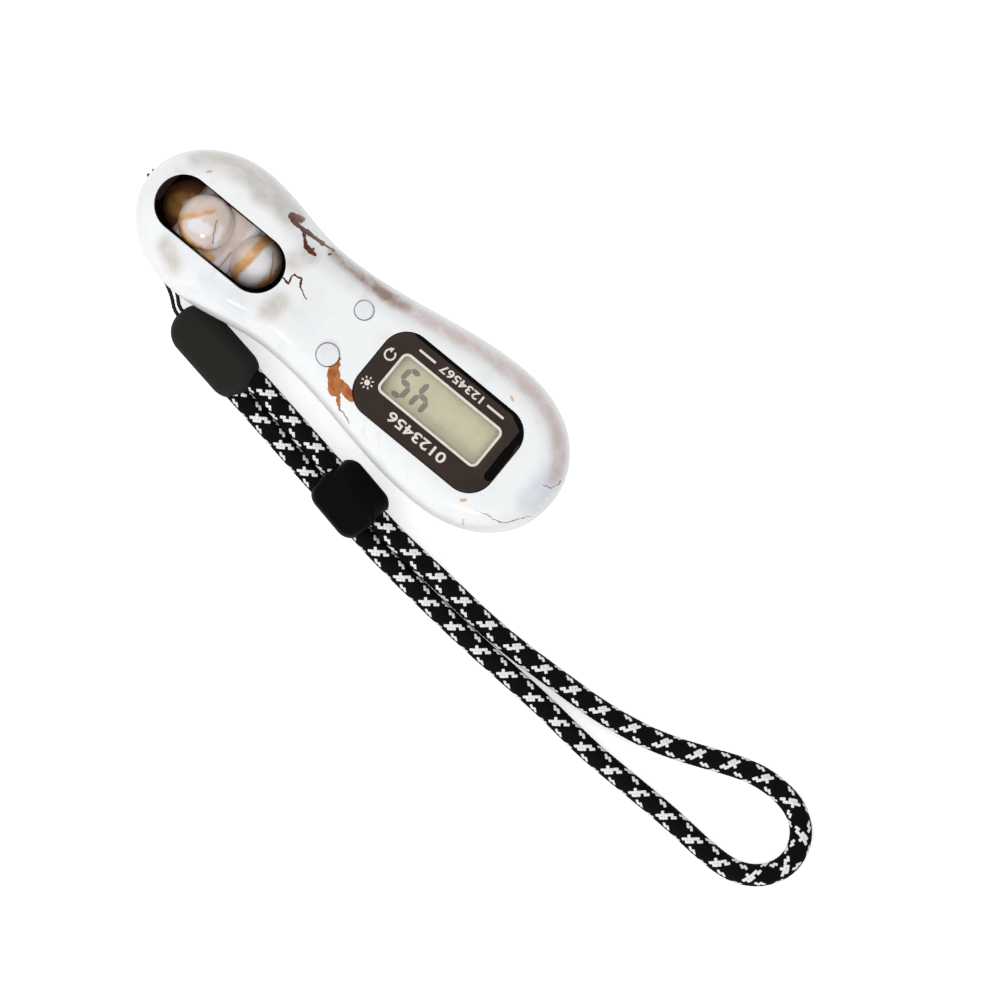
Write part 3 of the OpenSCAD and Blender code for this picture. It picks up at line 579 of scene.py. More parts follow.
def half_shell(s, side, holes, join, rim_round, wall_finish):
    """One shell of the body, hollow and closed, with rounded holes through its face.

    A band of rows is carried round the outline up to a fixed depth, a pierced sheet closes
    the face, and both are repeated inside, a wall further in. Returns points, faces and
    finish numbers, 0 outside and 1 inside; wall_finish gives the number of each hole's wall.
    join gives the (depth, lift) places of the step where the two shells meet.
    """
    loop, normal = outline(s, SHEET_STEP)
    edge = s.front_edge if side > 0 else s.back_edge
    deep = s.wall + BAND_END
    t = np.linspace(np.arccos((1 - deep / edge) ** (s.edge_square / 2)), 0, 16)
    outer = edge * (1 - np.cos(t) ** (2 / s.edge_square))
    outer[0], outer[-1] = deep, 0
    inner = s.wall + BAND_END * np.linspace(0, 1, 5)[1:] ** 2

    def skin_row(depth, inside):
        xy = loop - normal * depth
        return at_height(xy, skin_height(s, side, xy[:, 0], np.full(len(xy), depth), inside))

    def join_row(depth, lift):
        return at_height(loop - normal * depth, s.parting_z + lift)

    def facing(faces):
        return faces if side > 0 else faces[:, ::-1]

    rows = [skin_row(depth, False) for depth in outer[:-1]]
    rows += [join_row(0, side * 2 * PARTING_EDGE), join_row(PARTING_EDGE, 0)]
    outside = (len(rows) - 1) * len(loop)
    rows += [join_row(*place) for place in join]
    rows += [skin_row(depth, True) for depth in inner]
    quads = facing(grid_faces(len(rows), len(loop), close_columns=True))

    rings = [rim_round * k for k in RIM_RINGS]
    flat, triangles, rims = pierced_sheet(rows[0][:, :2], holes, rings, SHEET_STEP)
    depth = inset(s, flat)
    depth[:len(loop)] = deep
    face = skin_height(s, side, flat[:, 0], depth, False)
    for hole in holes:
        gap = np.clip(rim_round - hole_distance(flat, hole), 0, rim_round)
        face -= side * (rim_round - np.sqrt(rim_round ** 2 - gap ** 2))
    back = skin_height(s, side, flat[:, 0], depth, True)
    up = facing(triangles)
    parts = [(np.stack(rows), quads, 0), (at_height(flat, face), up, 0),
             (at_height(flat, back), up[:, ::-1], 1)]
    for rim, finish_number in zip(rims, wall_finish):
        drop = back[rim] - face[rim]
        wall = np.stack([at_height(flat[rim], face[rim] + k * drop) for k in (0, 0.25, 0.6, 1)])
        parts.append((wall, facing(grid_faces(len(wall), len(rim), close_columns=True)), finish_number))
    points, faces, numbers = gather(*parts)
    numbers[outside:len(quads)] = [1] * (len(quads) - outside)
    return points, faces, numbers


# Finishes


class Nodes:
    """Adds nodes to a node tree."""

    def __init__(self, tree):
        self.tree = tree

    def node(self, kind, links=(), **settings):
        """Adds a node: links maps its inputs to sockets or values, settings are its properties."""
        node = self.tree.nodes.new(kind)
        for key, value in settings.items():
            setattr(node, key, value)
        for key, value in dict(links).items():
            if isinstance(value, bpy.types.NodeSocket):
                self.tree.links.new(value, node.inputs[key])
            else:
                node.inputs[key].default_value = value
        return node

    def math(self, operation, a, b=0.0, third=0.0, clamp=False):
        """One arithmetic node."""
        links = {0: a, 1: b, 2: third}
        return self.node("ShaderNodeMath", links, operation=operation, use_clamp=clamp).outputs[0]

    def vector(self, operation, a, b=None):
        """One node of vector arithmetic."""
        links = {0: a} if b is None else {0: a, "Scale" if operation == "SCALE" else 1: b}
        found = self.node("ShaderNodeVectorMath", links, operation=operation).outputs
        return found["Value" if operation in ("DOT_PRODUCT", "LENGTH") else "Vector"]


class Finish(Nodes):
    """A small helper that builds one node material."""

    def __init__(self, name):
        self.material = bpy.data.materials.new(name)
        self.material.use_nodes = True
        super().__init__(self.material.node_tree)
        self.shader = self.tree.nodes["Principled BSDF"]

    def set(self, **values):
        """Sets the shader's own sockets, with spaces in their names written as underscores."""
        for key, value in values.items():
            socket = self.shader.inputs[key.replace("_", " ")]
            if hasattr(value, "__len__"):
                value = (*value[:3], 1.0)[:len(socket.default_value)]
            socket.default_value = value
        return self

    def link(self, key, socket):
        """Links one of the shader's own sockets."""
        self.tree.links.new(socket, self.shader.inputs[key])
        return self

    def colour(self, socket):
        """Links the shader's colour."""
        return self.link("Base Color", socket)

    def bump(self, height, distance_mm):
        """Links a bump of that height in millimetres."""
        bump = self.node("ShaderNodeBump", {"Height": height, "Distance": distance_mm * MM})
        return self.link("Normal", bump.outputs["Normal"])

    def place(self):
        """The piece's own coordinates in millimetres."""
        coordinates = self.node("ShaderNodeTexCoord").outputs["Object"]
        links = {"Vector": coordinates, "Scale": (1 / MM,) * 3}
        return self.node("ShaderNodeMapping", links).outputs["Vector"]

    def pattern(self):
        """The piece's own pattern map."""
        return self.node("ShaderNodeUVMap", uv_map="Pattern").outputs["UV"]

    def split(self, vector):
        """The parts of a vector, by their letters."""
        return self.node("ShaderNodeSeparateXYZ", {"Vector": vector}).outputs

    def noise(self, vector, scale, detail=3.0, roughness=0.5, distortion=0.0, output="Fac"):
        """A noise value of about 0 to 1, or a noise colour; scale is waves in a millimetre."""
        links = {"Vector": vector, "Scale": scale, "Detail": detail, "Roughness": roughness,
                 "Distortion": distortion}
        return self.node("ShaderNodeTexNoise", links).outputs[output]

    def unsettled(self, vector, scale, reach):
        """Places moved about by a noise, by up to about half the reach."""
        shift = self.vector("SUBTRACT", self.noise(vector, scale, output="Color"), (0.5, 0.5, 0.5))
        return self.vector("ADD", vector, self.vector("SCALE", shift, reach))

    def span(self, value, low, high, to_low=0.0, to_high=1.0):
        """A value mapped smoothly from one span to another."""
        links = {"Value": value, "From Min": low, "From Max": high, "To Min": to_low, "To Max": to_high}
        return self.node("ShaderNodeMapRange", links, interpolation_type="SMOOTHSTEP").outputs["Result"]

    def mix(self, factor, a, b):
        """Two colours mixed by a factor."""
        a, b = (v if isinstance(v, bpy.types.NodeSocket) else (*v[:3], 1.0) for v in (a, b))
        return self.node("ShaderNodeMix", {0: factor, 6: a, 7: b}, data_type="RGBA").outputs[2]

    def mark(self, base, cover, strength, tone):
        """A colour with a tone laid over it, by its cover times its strength."""
        return self.mix(self.math("MULTIPLY", cover, strength), base, tone)


def stroke_group():
    """A node group: how far a point is from a straight stroke, less half the stroke's width.

    h = clamp((p - a).(b - a) / (b - a).(b - a)), and the value is |p - a - h (b - a)| - width.
    """
    group = bpy.data.node_groups.get("Stroke")
    if group:
        return group
    group = bpy.data.node_groups.new("Stroke", "ShaderNodeTree")
    for key, kind in (("Point", "Vector"), ("Start", "Vector"), ("End", "Vector"), ("Width", "Float")):
        group.interface.new_socket(key, in_out="INPUT", socket_type="NodeSocket" + kind)
    group.interface.new_socket("Distance", in_out="OUTPUT", socket_type="NodeSocketFloat")
    given = group.nodes.new("NodeGroupInput").outputs
    result = group.nodes.new("NodeGroupOutput").inputs
    n = Nodes(group)
    off = n.vector("SUBTRACT", given["Point"], given["Start"])
    run = n.vector("SUBTRACT", given["End"], given["Start"])
    h = n.math("DIVIDE", n.vector("DOT_PRODUCT", off, run), n.vector("DOT_PRODUCT", run, run), clamp=True)
    away = n.vector("LENGTH", n.vector("SUBTRACT", off, n.vector("SCALE", run, h)))
    group.links.new(n.math("SUBTRACT", away, given["Width"]), result["Distance"])
    return group


def strokes(finish, point, runs):
    """The smallest distance from a point to the strokes of several runs of (x, y, half width)."""
    nearest = None
    for (xa, ya, wa), (xb, yb, wb) in (ends for run in runs for ends in zip(run, run[1:])):
        links = {"Point": point, "Start": (xa, ya, 0), "End": (xb, yb, 0), "Width": (wa + wb) / 2}
        away = finish.node("ShaderNodeGroup", links, node_tree=stroke_group()).outputs["Distance"]
        nearest = away if nearest is None else finish.math("MINIMUM", nearest, away)
    return nearest


# Marks on the face, each a run of (x, y, half width) in millimetres
RUST_CRACKS = [
    [(-20.7, 10.0, 0.45), (-20.0, 10.2, 0.6), (-19.0, 10.5, 0.5)],
    [(-20.0, 9.5, 0.4), (-17.6, 9.4, 0.42), (-16.4, 9.5, 0.38), (-13.7, 9.6, 0.28), (-11.5, 9.8, 0.12)],
    [(-17.2, 9.1, 0.34), (-16.4, 8.3, 0.26), (-15.5, 7.6, 0.38), (-14.4, 7.4, 0.42), (-13.4, 7.4, 0.26)],
    [(-14.5, 7.6, 0.28), (-14.3, 8.0, 0.2)],
    [(-11.7, 8.9, 0.18), (-11.6, 9.1, 0.18)],
    [(-15.0, 1.0, 0.17), (-13.8, 0.8, 0.2), (-14.1, 2.0, 0.15), (-13.9, 2.6, 0.15), (-12.7, 2.8, 0.2),
     (-11.9, 1.6, 0.13), (-11.0, 1.2, 0.11), (-9.8, 0.7, 0.08)],
    [(6.3, -10.3, 0.1), (7.2, -10.3, 0.08), (8.1, -10.6, 0.12), (9.1, -11.0, 0.08)],
]
OCHRE_PATCHES = [
    [(0.8, -3.6, 0.15), (1.05, -4.7, 0.5), (1.5, -5.9, 0.95), (2.6, -7.2, 1.15), (3.6, -8.2, 1.1)],
    [(3.4, -6.7, 0.5), (4.6, -6.9, 0.9), (6.4, -7.3, 0.85)],
    [(4.8, -8.6, 0.45), (5.6, -9.7, 0.24), (6.3, -10.3, 0.1)],
]
GREY_CRACKS = [
    [(34.7, -8.9, 0.03), (36.4, -8.2, 0.05), (38.2, -8.0, 0.06), (39.5, -7.6, 0.08), (40.2, -7.1, 0.06),
     (41.2, -5.6, 0.07), (42.7, -3.7, 0.05)],
    [(41.0, 1.8, 0.12), (42.3, 2.2, 0.07), (42.8, 3.3, 0.07), (42.8, 4.0, 0.12)],
]
PEACH_SPOTS = [
    [(31.8, -9.0, 0.24), (32.3, -8.5, 0.24)],
    [(34.2, -11.4, 0.1), (34.7, -12.0, 0.14)],
    [(-36.3, 6.7, 0.2), (-35.9, 7.2, 0.12)],
    [(27.4, 9.9, 0.15), (27.9, 9.6, 0.2)],
]
BEIGE_CLOUDS_AND_SHADE = [
    # Along the head's +Y shoulder: a beige cloud that also paints the shade on that side
    [(-39.2, 7.9, 0.4), (-36.0, 10.6, 0.7), (-34.1, 11.6, 1.0), (-29.8, 11.7, 1.2), (-25.1, 11.1, 1.0),
     (-21.0, 10.6, 0.8)],
    [(-26.8, 10.0, 0.8), (-25.5, 10.3, 0.6)],
    [(-13.4, -4.8, 0.4), (-13.0, -2.6, 0.3)],
    [(-15.3, 4.4, 0.3), (-14.2, 6.4, 0.3)],
    [(-33.9, -7.4, 0.1), (-30.7, -9.0, 0.1)],
]
# The blue run at the tail tip is painted bluish shade
BLUE_TAIL_SHADE = [[(41.2, -1.5, 0.8), (41.7, 2.8, 1.0)]]
# The taupe and mauve runs follow the +Y rim from the waist round the tail: a brown-grey and pinkish vein,
# darkened further as painted shade on that side
TAUPE_EDGE_AND_SHADE = [[(-11.0, 9.6, 0.1), (-6.0, 9.6, 0.4), (-2.0, 9.75, 0.3), (2.0, 9.9, 0.1), (4.0, 10.5, 0.0)]]
MAUVE_EDGE_AND_SHADE = [
    [(0.0, 9.6, 0.0), (4.0, 10.3, 0.1), (8.0, 11.0, 0.1), (14.0, 11.9, 0.2), (18.0, 12.7, 0.1),
     (22.0, 13.2, 0.3), (26.0, 13.3, 0.6), (30.0, 13.1, 0.3), (33.0, 12.2, 0.1), (36.0, 11.1, 0.2),
     (38.0, 9.7, 0.4), (39.9, 7.7, 0.7), (41.2, 5.9, 0.4), (42.0, 4.2, 0.3)],
]

# Each kind of cloud: its runs, how far it fades out beyond them, and its strength. The taupe, mauve and
# blue runs and the first beige run also paint shade on the rims and the tail tip
CLOUDS = {"beige": (BEIGE_CLOUDS_AND_SHADE, 2.6, 0.8), "blue": (BLUE_TAIL_SHADE, 3.0, 0.7),
          "mauve": (MAUVE_EDGE_AND_SHADE, 1.9, 0.7), "taupe": (TAUPE_EDGE_AND_SHADE, 1.7, 1.0)}
CLOUD_LOW, CLOUD_RISE = 11.5, 7.0


def add_clouds(mesh):
    """Gives each vertex its share in each kind of cloud, from its height and its distance to the runs;
    some clouds paint shade on the rims.

    The share eases in with the height from CLOUD_LOW on and out with the distance in plan.
    The distance to a stroke from a to b is |p - a - h (b - a)| less its half width, with
    h = clamp((p - a).(b - a) / (b - a).(b - a)).
    """
    points = vertex_places(mesh) / MM
    plan = points[:, None, :2]
    above = ease((points[:, 2] - CLOUD_LOW) / CLOUD_RISE)
    for name, (runs, fade, strength) in CLOUDS.items():
        ends = np.array([pair for run in runs for pair in zip(run, run[1:])])
        start, run, half = ends[:, 0, :2], ends[:, 1, :2] - ends[:, 0, :2], ends[:, :, 2].mean(1)
        h = np.clip(((plan - start) * run).sum(-1) / (run ** 2).sum(-1), 0, 1)
        away = (np.linalg.norm(plan - start - h[..., None] * run, axis=-1) - half).min(1)
        layer = mesh.attributes.new(name, "FLOAT", "POINT")
        layer.data.foreach_set("value", (strength * above * ease(1 - away / fade)).astype(np.float32))


def marble_finish(name, face):
    """Glossy white plastic with soft clouds; a face also has the marks listed above, and some clouds
    along its rims paint shade.

    A mark's strength falls with the distance from its strokes, seen in plan, and fades out
    down the side of the shell. The back has thin cracks where a noise passes one value.
    """
    c = bpy.context.scene.tally_finishes
    f = Finish(name).set(Roughness=0.17, Specular_IOR_Level=0.22, Coat_Weight=0.2, Coat_Roughness=0.04)
    at = f.place()
    clouds = f.noise(at, 0.10, 4.0, 0.55, 0.8)
    fine = f.noise(at, 0.34, 5.0, 0.6, 0.6)
    base = f.mix(f.span(clouds, 0.54, 0.76, 0.0, 0.4), c.marble, c.marble_blue)
    base = f.mix(f.span(fine, 0.56, 0.80, 0.0, 0.35), base, c.marble_beige)
    if not face:
        crack = f.span(f.math("ABSOLUTE", f.math("SUBTRACT", clouds, 0.44)), 0.006, 0.002)
        broken = f.math("MULTIPLY", crack, f.span(f.noise(at, 0.05, 2.0), 0.5, 0.58))
        return f.colour(f.mark(base, broken, 0.8, c.marble_rust)).material

    above = f.span(f.split(at)["Z"], 11.6, 15.0)
    level = f.vector("MULTIPLY", f.unsettled(at, 1.1, 0.7), (1, 1, 0))
    grain = f.span(fine, 0.30, 0.62, 0.6, 1.0)
    near = {kind: f.node("ShaderNodeAttribute", attribute_name=kind).outputs["Fac"] for kind in CLOUDS}
    for kind, value in near.items():
        base = f.mark(base, value, grain, getattr(c, "marble_" + kind))
    # A darker taupe mottle in the +Y rim band: more painted shade on that side
    base = f.mark(base, near["taupe"], f.span(fine, 0.53, 0.60, 0.0, 0.45), (0.20, 0.11, 0.075))
    sand = f.mix(f.span(f.noise(at, 0.7, 4.0), 0.4, 0.62), c.marble_ochre, (0.50, 0.19, 0.06))
    dark = f.mix(f.span(f.noise(at, 0.9, 3.0), 0.38, 0.65), c.marble_rust, (0.17, 0.035, 0.010))
    for runs, soft, tone in ((PEACH_SPOTS, 0.2, (0.78, 0.42, 0.18)), (OCHRE_PATCHES, 0.06, sand),
                             (GREY_CRACKS, 0.05, (0.24, 0.19, 0.16)), (RUST_CRACKS, 0.05, dark)):
        base = f.mark(base, f.span(strokes(f, level, runs), soft, -soft), above, tone)
    return f.colour(base).material


def liner_finish():
    """Dark plastic seen inside the openings; its brown partly paints the shade and the amber bead
    reflections deep in the head end.
    """
    f = Finish("Dark plastic and interior shade").set(Roughness=0.42, Specular_IOR_Level=0.3)
    grain = f.noise(f.place(), 1.6, 3.0)
    return f.colour(f.mix(grain, (0.32, 0.19, 0.13), (0.20, 0.12, 0.08))).bump(grain, 0.01).material


# The wheel's pattern map: the drum has arc length from the top and Y, and bead k has its own
# plan from a middle at BEAD_MAP + k * BEAD_STEP
BEAD_MAP, BEAD_STEP = 40.0, 14.0
WHITE_BANDS = [
    [(4.3, 4.9, 0.6), (4.6, 0.0, 0.9), (4.9, -4.9, 0.5)],
    [(2.9, -1.2, 0.1), (2.85, -3.0, 0.26), (2.7, -4.9, 0.32)],
    [(38.8, -1.5, 0.9), (40.8, -0.9, 1.0)],
    [(42.8, 0.9, 0.28), (43.7, -2.0, 0.22)],
    [(55.0, 2.2, 1.0), (55.6, -0.4, 1.5), (54.8, -2.8, 1.5)],
    [(66.5, -1.0, 1.2), (69.0, 1.5, 1.0)],
    [(84.0, 2.5, 0.4), (85.0, 0.0, 0.3)],
]
AMBER_BANDS = [
    [(-3.0, -4.6, 1.4), (-0.5, -4.4, 1.2), (1.2, -4.6, 0.7)],
    [(7.6, 4.9, 0.6), (7.9, 0.0, 0.8), (7.6, -4.9, 0.9)],
    [(36.1, -2.4, 0.5), (38.1, 0.1, 0.36), (40.0, 2.5, 0.14)],
    # Along the top bead's -Y rim: a painted reflection of the amber drum below
    [(36.1, -2.4, 0.4), (37.1, -3.7, 0.5), (39.8, -4.4, 0.45), (42.0, -4.2, 0.4)],
    [(53.5, 4.0, 0.6), (53.1, 0.0, 0.85), (52.9, -4.2, 0.7)],
    [(58.3, 2.0, 0.35), (58.5, 0.5, 0.4), (57.6, -2.6, 0.3)],
    [(66.0, -3.5, 0.4), (68.5, -0.5, 0.5), (70.5, 3.0, 0.3)],
    # The last bead's amber middle, ringed by the dark brown ground painted as shade
    [(80.4, -0.8, 2.2), (82.6, 0.6, 1.9)],
]
BROWN_LINES = [
    [(5.7, 4.9, 0.06), (5.6, 0.0, 0.09), (5.5, -4.9, 0.09)],
    [(3.5, -1.5, 0.05), (3.6, -4.9, 0.1)],
    [(41.45, 1.5, 0.06), (42.2, -0.4, 0.1), (43.2, -2.1, 0.08)],
    [(55.7, 3.2, 0.05), (57.2, 1.2, 0.09), (58.2, -0.9, 0.07)],
    [(80.2, 2.9, 0.06), (83.4, 1.6, 0.1), (85.4, -1.4, 0.08)],
]


def bead_finish():
    """Glossy resin, pinkish with white and amber bands and thin brown lines; the last bead's ground is
    painted dark brown shade.

    The drum's pattern repeats round it, once for each bead.
    """
    c = bpy.context.scene.tally_finishes
    w = in_mm(bpy.context.scene.tally_wheel)
    f = Finish("Streaked bead resin").set(
        Roughness=0.09, Specular_IOR_Level=0.5, Coat_Weight=0.4, Coat_Roughness=0.03,
        Subsurface_Weight=0.3, Subsurface_Scale=0.001, Subsurface_Radius=(1, 1, 1))
    parts = f.split(f.unsettled(f.pattern(), 0.55, 0.8))
    period, start = math.pi * w.drum_d / w.bead_count, -3.0
    turn = f.math("WRAP", parts["X"], start + period, third=start)
    on_bead = f.math("GREATER_THAN", parts["X"], BEAD_MAP - BEAD_STEP / 2)
    along = f.math("ADD", turn, f.math("MULTIPLY", on_bead, f.math("SUBTRACT", parts["X"], turn)))
    point = f.node("ShaderNodeCombineXYZ", {"X": along, "Y": parts["Y"]}).outputs["Vector"]
    veil = f.noise(f.pattern(), 0.6, 3.0, 0.5, 0.4)
    # The last bead sits low at the head end: its dark brown ground is painted shade
    last = f.math("GREATER_THAN", parts["X"], BEAD_MAP + 2.5 * BEAD_STEP)
    base = f.mix(f.span(veil, 0.35, 0.7), c.bead_pink, (0.70, 0.58, 0.51))
    base = f.mix(last, base, (0.38, 0.17, 0.075))
    honey = f.mix(f.span(veil, 0.38, 0.62), c.bead_amber, (0.70, 0.40, 0.13))
    for runs, far, near, strength, tone in ((WHITE_BANDS, 0.55, -0.25, 0.95, c.bead_white),
                                            (AMBER_BANDS, 0.45, -0.3, 0.92, honey),
                                            (BROWN_LINES, 0.12, -0.05, 0.7, (0.24, 0.10, 0.05))):
        base = f.mark(base, f.span(strokes(f, point, runs), far, near), strength, tone)
    return f.colour(base).material


def panel_finish(low, high):
    """Glossy black acrylic with a faint mottling, and a painted dark reflection band along its +Y edge
    and its tail end.
    """
    c = bpy.context.scene.tally_finishes
    f = Finish("Glossy black acrylic").set(Roughness=0.12, Specular_IOR_Level=0.08)
    at = f.place()
    tone = f.mix(f.noise(at, 0.25, 3.0), c.panel_black, (0.030, 0.021, 0.017))
    x, y = high[:2]
    # The tail and edge strokes paint a dark reflection band; near them the panel goes near black
    tail = [(x - 1.1, 5.6, 0.5), (x - 1.0, 2.5, 0.8), (x - 0.9, -2.9, 0.85)]
    edge = [(low[0] + 3.4, y - 0.2, 0.3), (x - 4.2, y - 0.2, 0.42), (x - 1.4, y - 1.6, 0.45),
            (x - 0.6, y - 3.4, 0.5)]
    near = f.span(strokes(f, f.vector("MULTIPLY", at, (1, 1, 0)), [tail, edge]), 0.05, -0.05)
    return f.colour(f.mix(near, tone, (0.001, 0.001, 0.001))).material


def plain_finish(name, tone, other, roughness, scale=1.0, bump_mm=0.0, metallic=0.0, **sockets):
    """A finish of two close tones mottled by noise, with a fine bump where asked."""
    f = Finish(name).set(Metallic=metallic, Roughness=roughness, **sockets)
    mottle = f.noise(f.place(), scale, 4.0, 0.6)
    f.colour(f.mix(f.span(mottle, 0.3, 0.7), tone, other))
    if bump_mm:
        f.bump(mottle, bump_mm)
    return f.material


def yarn_finish(yarns):
    """Braided yarn, black with two neighbouring white yarns in every eight, each way.

    The pattern map counts yarns round the cord and along it. The whole parts of their sum and
    difference number the yarns of the two ways, each on top for two cells out of four.
    """
    c = bpy.context.scene.tally_finishes
    f = Finish("Braided yarn").set(Roughness=0.6, Specular_IOR_Level=0.04)
    parts, m = f.split(f.pattern()), f.math
    right, left = m("ADD", parts["Y"], parts["X"]), m("SUBTRACT", parts["Y"], parts["X"])
    i, j = m("FLOOR", right), m("FLOOR", left)
    k = m("FLOORED_MODULO", m("SUBTRACT", i, j), 4.0)
    top = m("GREATER_THAN", k, 1.5)
    second = m("GREATER_THAN", m("ABSOLUTE", m("SUBTRACT", k, 1.5)), 1.0)

    def chosen(a, b):
        return m("ADD", a, m("MULTIPLY", top, m("SUBTRACT", b, a)))

    def falling(value, middle, factor):
        return m("POWER", m("MULTIPLY", m("ABSOLUTE", m("SUBTRACT", value, middle)), factor), 3.0)

    p, q = m("FRACT", right), m("FRACT", left)
    across = falling(chosen(p, q), 0.5, 1.6)
    along = falling(m("ADD", chosen(q, p), second), 1.0, 1.025)
    carrier = m("FLOORED_MODULO", chosen(i, m("SUBTRACT", j, 2.0)), yarns / 2)
    white = m("LESS_THAN", carrier, 1.5)
    inside = f.span(m("ADD", across, along), 1.2, 0.9)
    fibre = f.noise(f.place(), 3.2, 4.0, 0.65)
    dark = f.mix(fibre, c.yarn_black, (0.006, 0.005, 0.006))
    pale = f.mix(fibre, (0.78, 0.77, 0.76), c.yarn_white)
    return f.colour(f.mark(dark, white, inside, pale)).bump(fibre, 0.05).material


# Pieces


class PieceOperator(bpy.types.Operator):
    """Shared settings of the operators."""

    bl_options = {"REGISTER", "UNDO"}


# The strap's straight stretch: its start, its heading and its roll
STRAP_PLACE = np.array([-16.6, -16.6, 3.95])
STRAP_HEADING, STRAP_ROLL = math.radians(-9), math.radians(20)
# From the strap's middle line to each cord and to each strand of the string
PAIR_HALF, STRAND_HALF = 1.95, 0.55
# Height of the cord's middle where it lies on the table
CORD_REST = 1.95
# Where along the strap the cord and the string leave the end cap
CORD_MOUTH, STRING_MOUTH = 2.85, -6.45
# The slider's place along the strap, its shift, its leaning +Y side and the room round the cords
SLIDER_AT, SLIDER_SHIFT = 34.0, np.array([0, 0.4, 0.677])
SLIDER_TUCK, SLIDER_LEAN = 0.45, 0.16
CORD_ROOM = 0.28
# Where the braid's pattern starts: turns round the cord, and millimetres along it
BRAID_TURN, BRAID_START = 1 / 32, 3.96
# The string's pin in X and Z, the string's turn round it, and the eye that holds it
EYE, EYE_R = (-42.75, 7.2), 1.43
EYE_ROOM, EYE_HALF, EYE_WALL = 1.88, 1.9, 0.8
# The bead wheel's bore, its hub and its rounded edges
WHEEL_BORE, HUB_R, DRUM_EDGE = 1.05, 2.4, 0.12
# A button's flange beyond its cap, and the gap round the cap
BUTTON_FLANGE, BUTTON_GAP = 0.9, 0.2
# The rear shell's screw holes, which are repeated at -Y
REAR_SCREWS, SCREW_R = ((-10.7, 4.6), (37.0, 5.2)), 2.0


def turned(points, roll, heading):
    """Points turned about X by a roll, then about Z by a heading."""
    x, y, z = np.moveaxis(np.asarray(points, float), -1, 0)
    y, z = y * math.cos(roll) - z * math.sin(roll), y * math.sin(roll) + z * math.cos(roll)
    cos, sin = math.cos(heading), math.sin(heading)
    return np.stack([x * cos - y * sin, x * sin + y * cos, z], -1)


def on_strap(along, across=0.0, up=0.0):
    """A point of the strap's straight stretch, turned by its roll and its heading."""
    points = np.stack(np.broadcast_arrays(np.asarray(along, float), across, up), -1)
    return STRAP_PLACE + turned(points, STRAP_ROLL, STRAP_HEADING)


def cord_route():
    """The doubled cord's route: out of the cap, through the slider, round the loop and back."""
    straight = np.array([CORD_MOUTH, 10, 18, 26, SLIDER_AT, 43])
    plan = [[37.5, -22.4], [50.8, -23.3], [63.8, -22.9], [72.7, -22.3], [79, -21.3], [84.2, -20],
            [89.3, -18.1], [94.2, -16], [99.2, -14.1], [104.1, -13.4], [108.6, -14], [112, -16.1],
            [113.9, -19.5], [113.8, -23.3], [111.7, -26.6], [108.2, -28.7], [104, -29.3], [99.5, -29.2],
            [94.2, -28.9], [88.4, -28.8], [82.1, -28.8], [75.7, -28.7], [69.4, -28.2], [62.9, -27.7],
            [50, -27.2], [37, -26.3]]
    loop = at_height(plan, [3, 2, *[CORD_REST] * (len(plan) - 3), 2.4])
    return np.vstack([on_strap(straight, PAIR_HALF), loop, on_strap(straight[::-1], -PAIR_HALF)])


def string_route():
    """The string's route: under the head's edge to the eye, once round its pin, and back."""
    i = np.arange(7)
    a = np.pi - np.pi / 4 * i
    x, z = EYE
    turn = np.stack([x + EYE_R * np.cos(a), STRAND_HALF * (i / 3 - 1), z + EYE_R * np.sin(a)], -1)
    out = [[-28.1, -14.3, 2.6], [-31.4, -12.6, 1], [-34.8, -10.9, 0.5], [-38.2, -8.5, 0.5],
           [-40.9, -5.6, 0.5], [-42.7, -2.8, 1], [-43.8, -1.2, 2.7], [-44.2, -0.6, 4.9]]
    home = [[-43.8, 0.6, 5.3], [-44.2, 0.5, 4], [-43.7, 0.1, 2.4], [-42.6, -1, 0.9],
            [-41.4, -2.9, 0.5], [-39.7, -5.4, 0.5], [-37.5, -7.7, 0.5], [-34.3, -10, 0.5],
            [-31, -11.6, 1], [-27.6, -13.4, 2.8]]
    ends = np.array([STRING_MOUTH, -9.6])
    return np.vstack([on_strap(ends, -STRAND_HALF), out, turn, home, on_strap(ends[::-1], STRAND_HALF)])


class TALLY_OT_camera(PieceOperator):
    """Sets the camera almost straight above the counter, as in the photograph"""

    bl_idname = "tally.camera"
    bl_label = "Camera"

    def execute(self, context):
        """The picture's right is the frame's X turned by the slant; cover is the width that it shows."""
        slant, lean = math.radians(39.46), math.radians(2.0)
        away, cover, sensor = 2.0, 0.1695, 36
        target = Vector((36.9, -5.1, 11)) * MM
        right = Vector((math.cos(slant), math.sin(slant), 0))
        back = Vector((0, math.sin(lean), math.cos(lean)))
        right = (right - right.dot(back) * back).normalized()
        data = bpy.data.cameras.new("Camera")
        data.sensor_width = sensor
        data.lens = sensor * away / cover
        data.clip_start, data.clip_end = 0.01, 20
        camera = new_object("Camera", data)
        turn = Matrix((right, back.cross(right), back)).transposed()
        camera.matrix_world = Matrix.Translation(target + back * away) @ turn.to_4x4()
        context.scene.camera = camera
        return {"FINISHED"}


def soft_block(half, corner, thickness, steps, over, under):
    """A pebble or brick: a rounded rectangle drawn in along a quarter circle, then flat to its middle.

    The radii of the quarter circles over and under it are functions of Y.
    """
    half = np.asarray(half)
    reach, least = min(half) - 0.06, 0.05
    loop = even_loop(rounded_loop((0, 0), half, corner, 16), 0.3)
    core = np.clip(loop, corner - half, half - corner)
    away = (loop - core) / np.linalg.norm(loop - core, axis=1)[:, None]

    def rows(radius):
        rings = [(radius * k, radius * drop) for k, drop in zip(*quarter(steps))]
        rings += [(np.full(len(loop), k), 0) for k in np.linspace(radius.max(), reach, 5)[1:]]
        for k, drop in rings:
            limit = half - np.maximum(k, corner)[:, None]
            flat = np.clip(core, -limit, limit) + np.maximum(corner - k, least)[:, None] * away
            yield at_height(flat, thickness / 2 - drop)

    below = [row * [1, 1, -1] for row in rows(under(loop[:, 1]))]
    return rows_block(below[::-1] + list(rows(over(loop[:, 1]))))


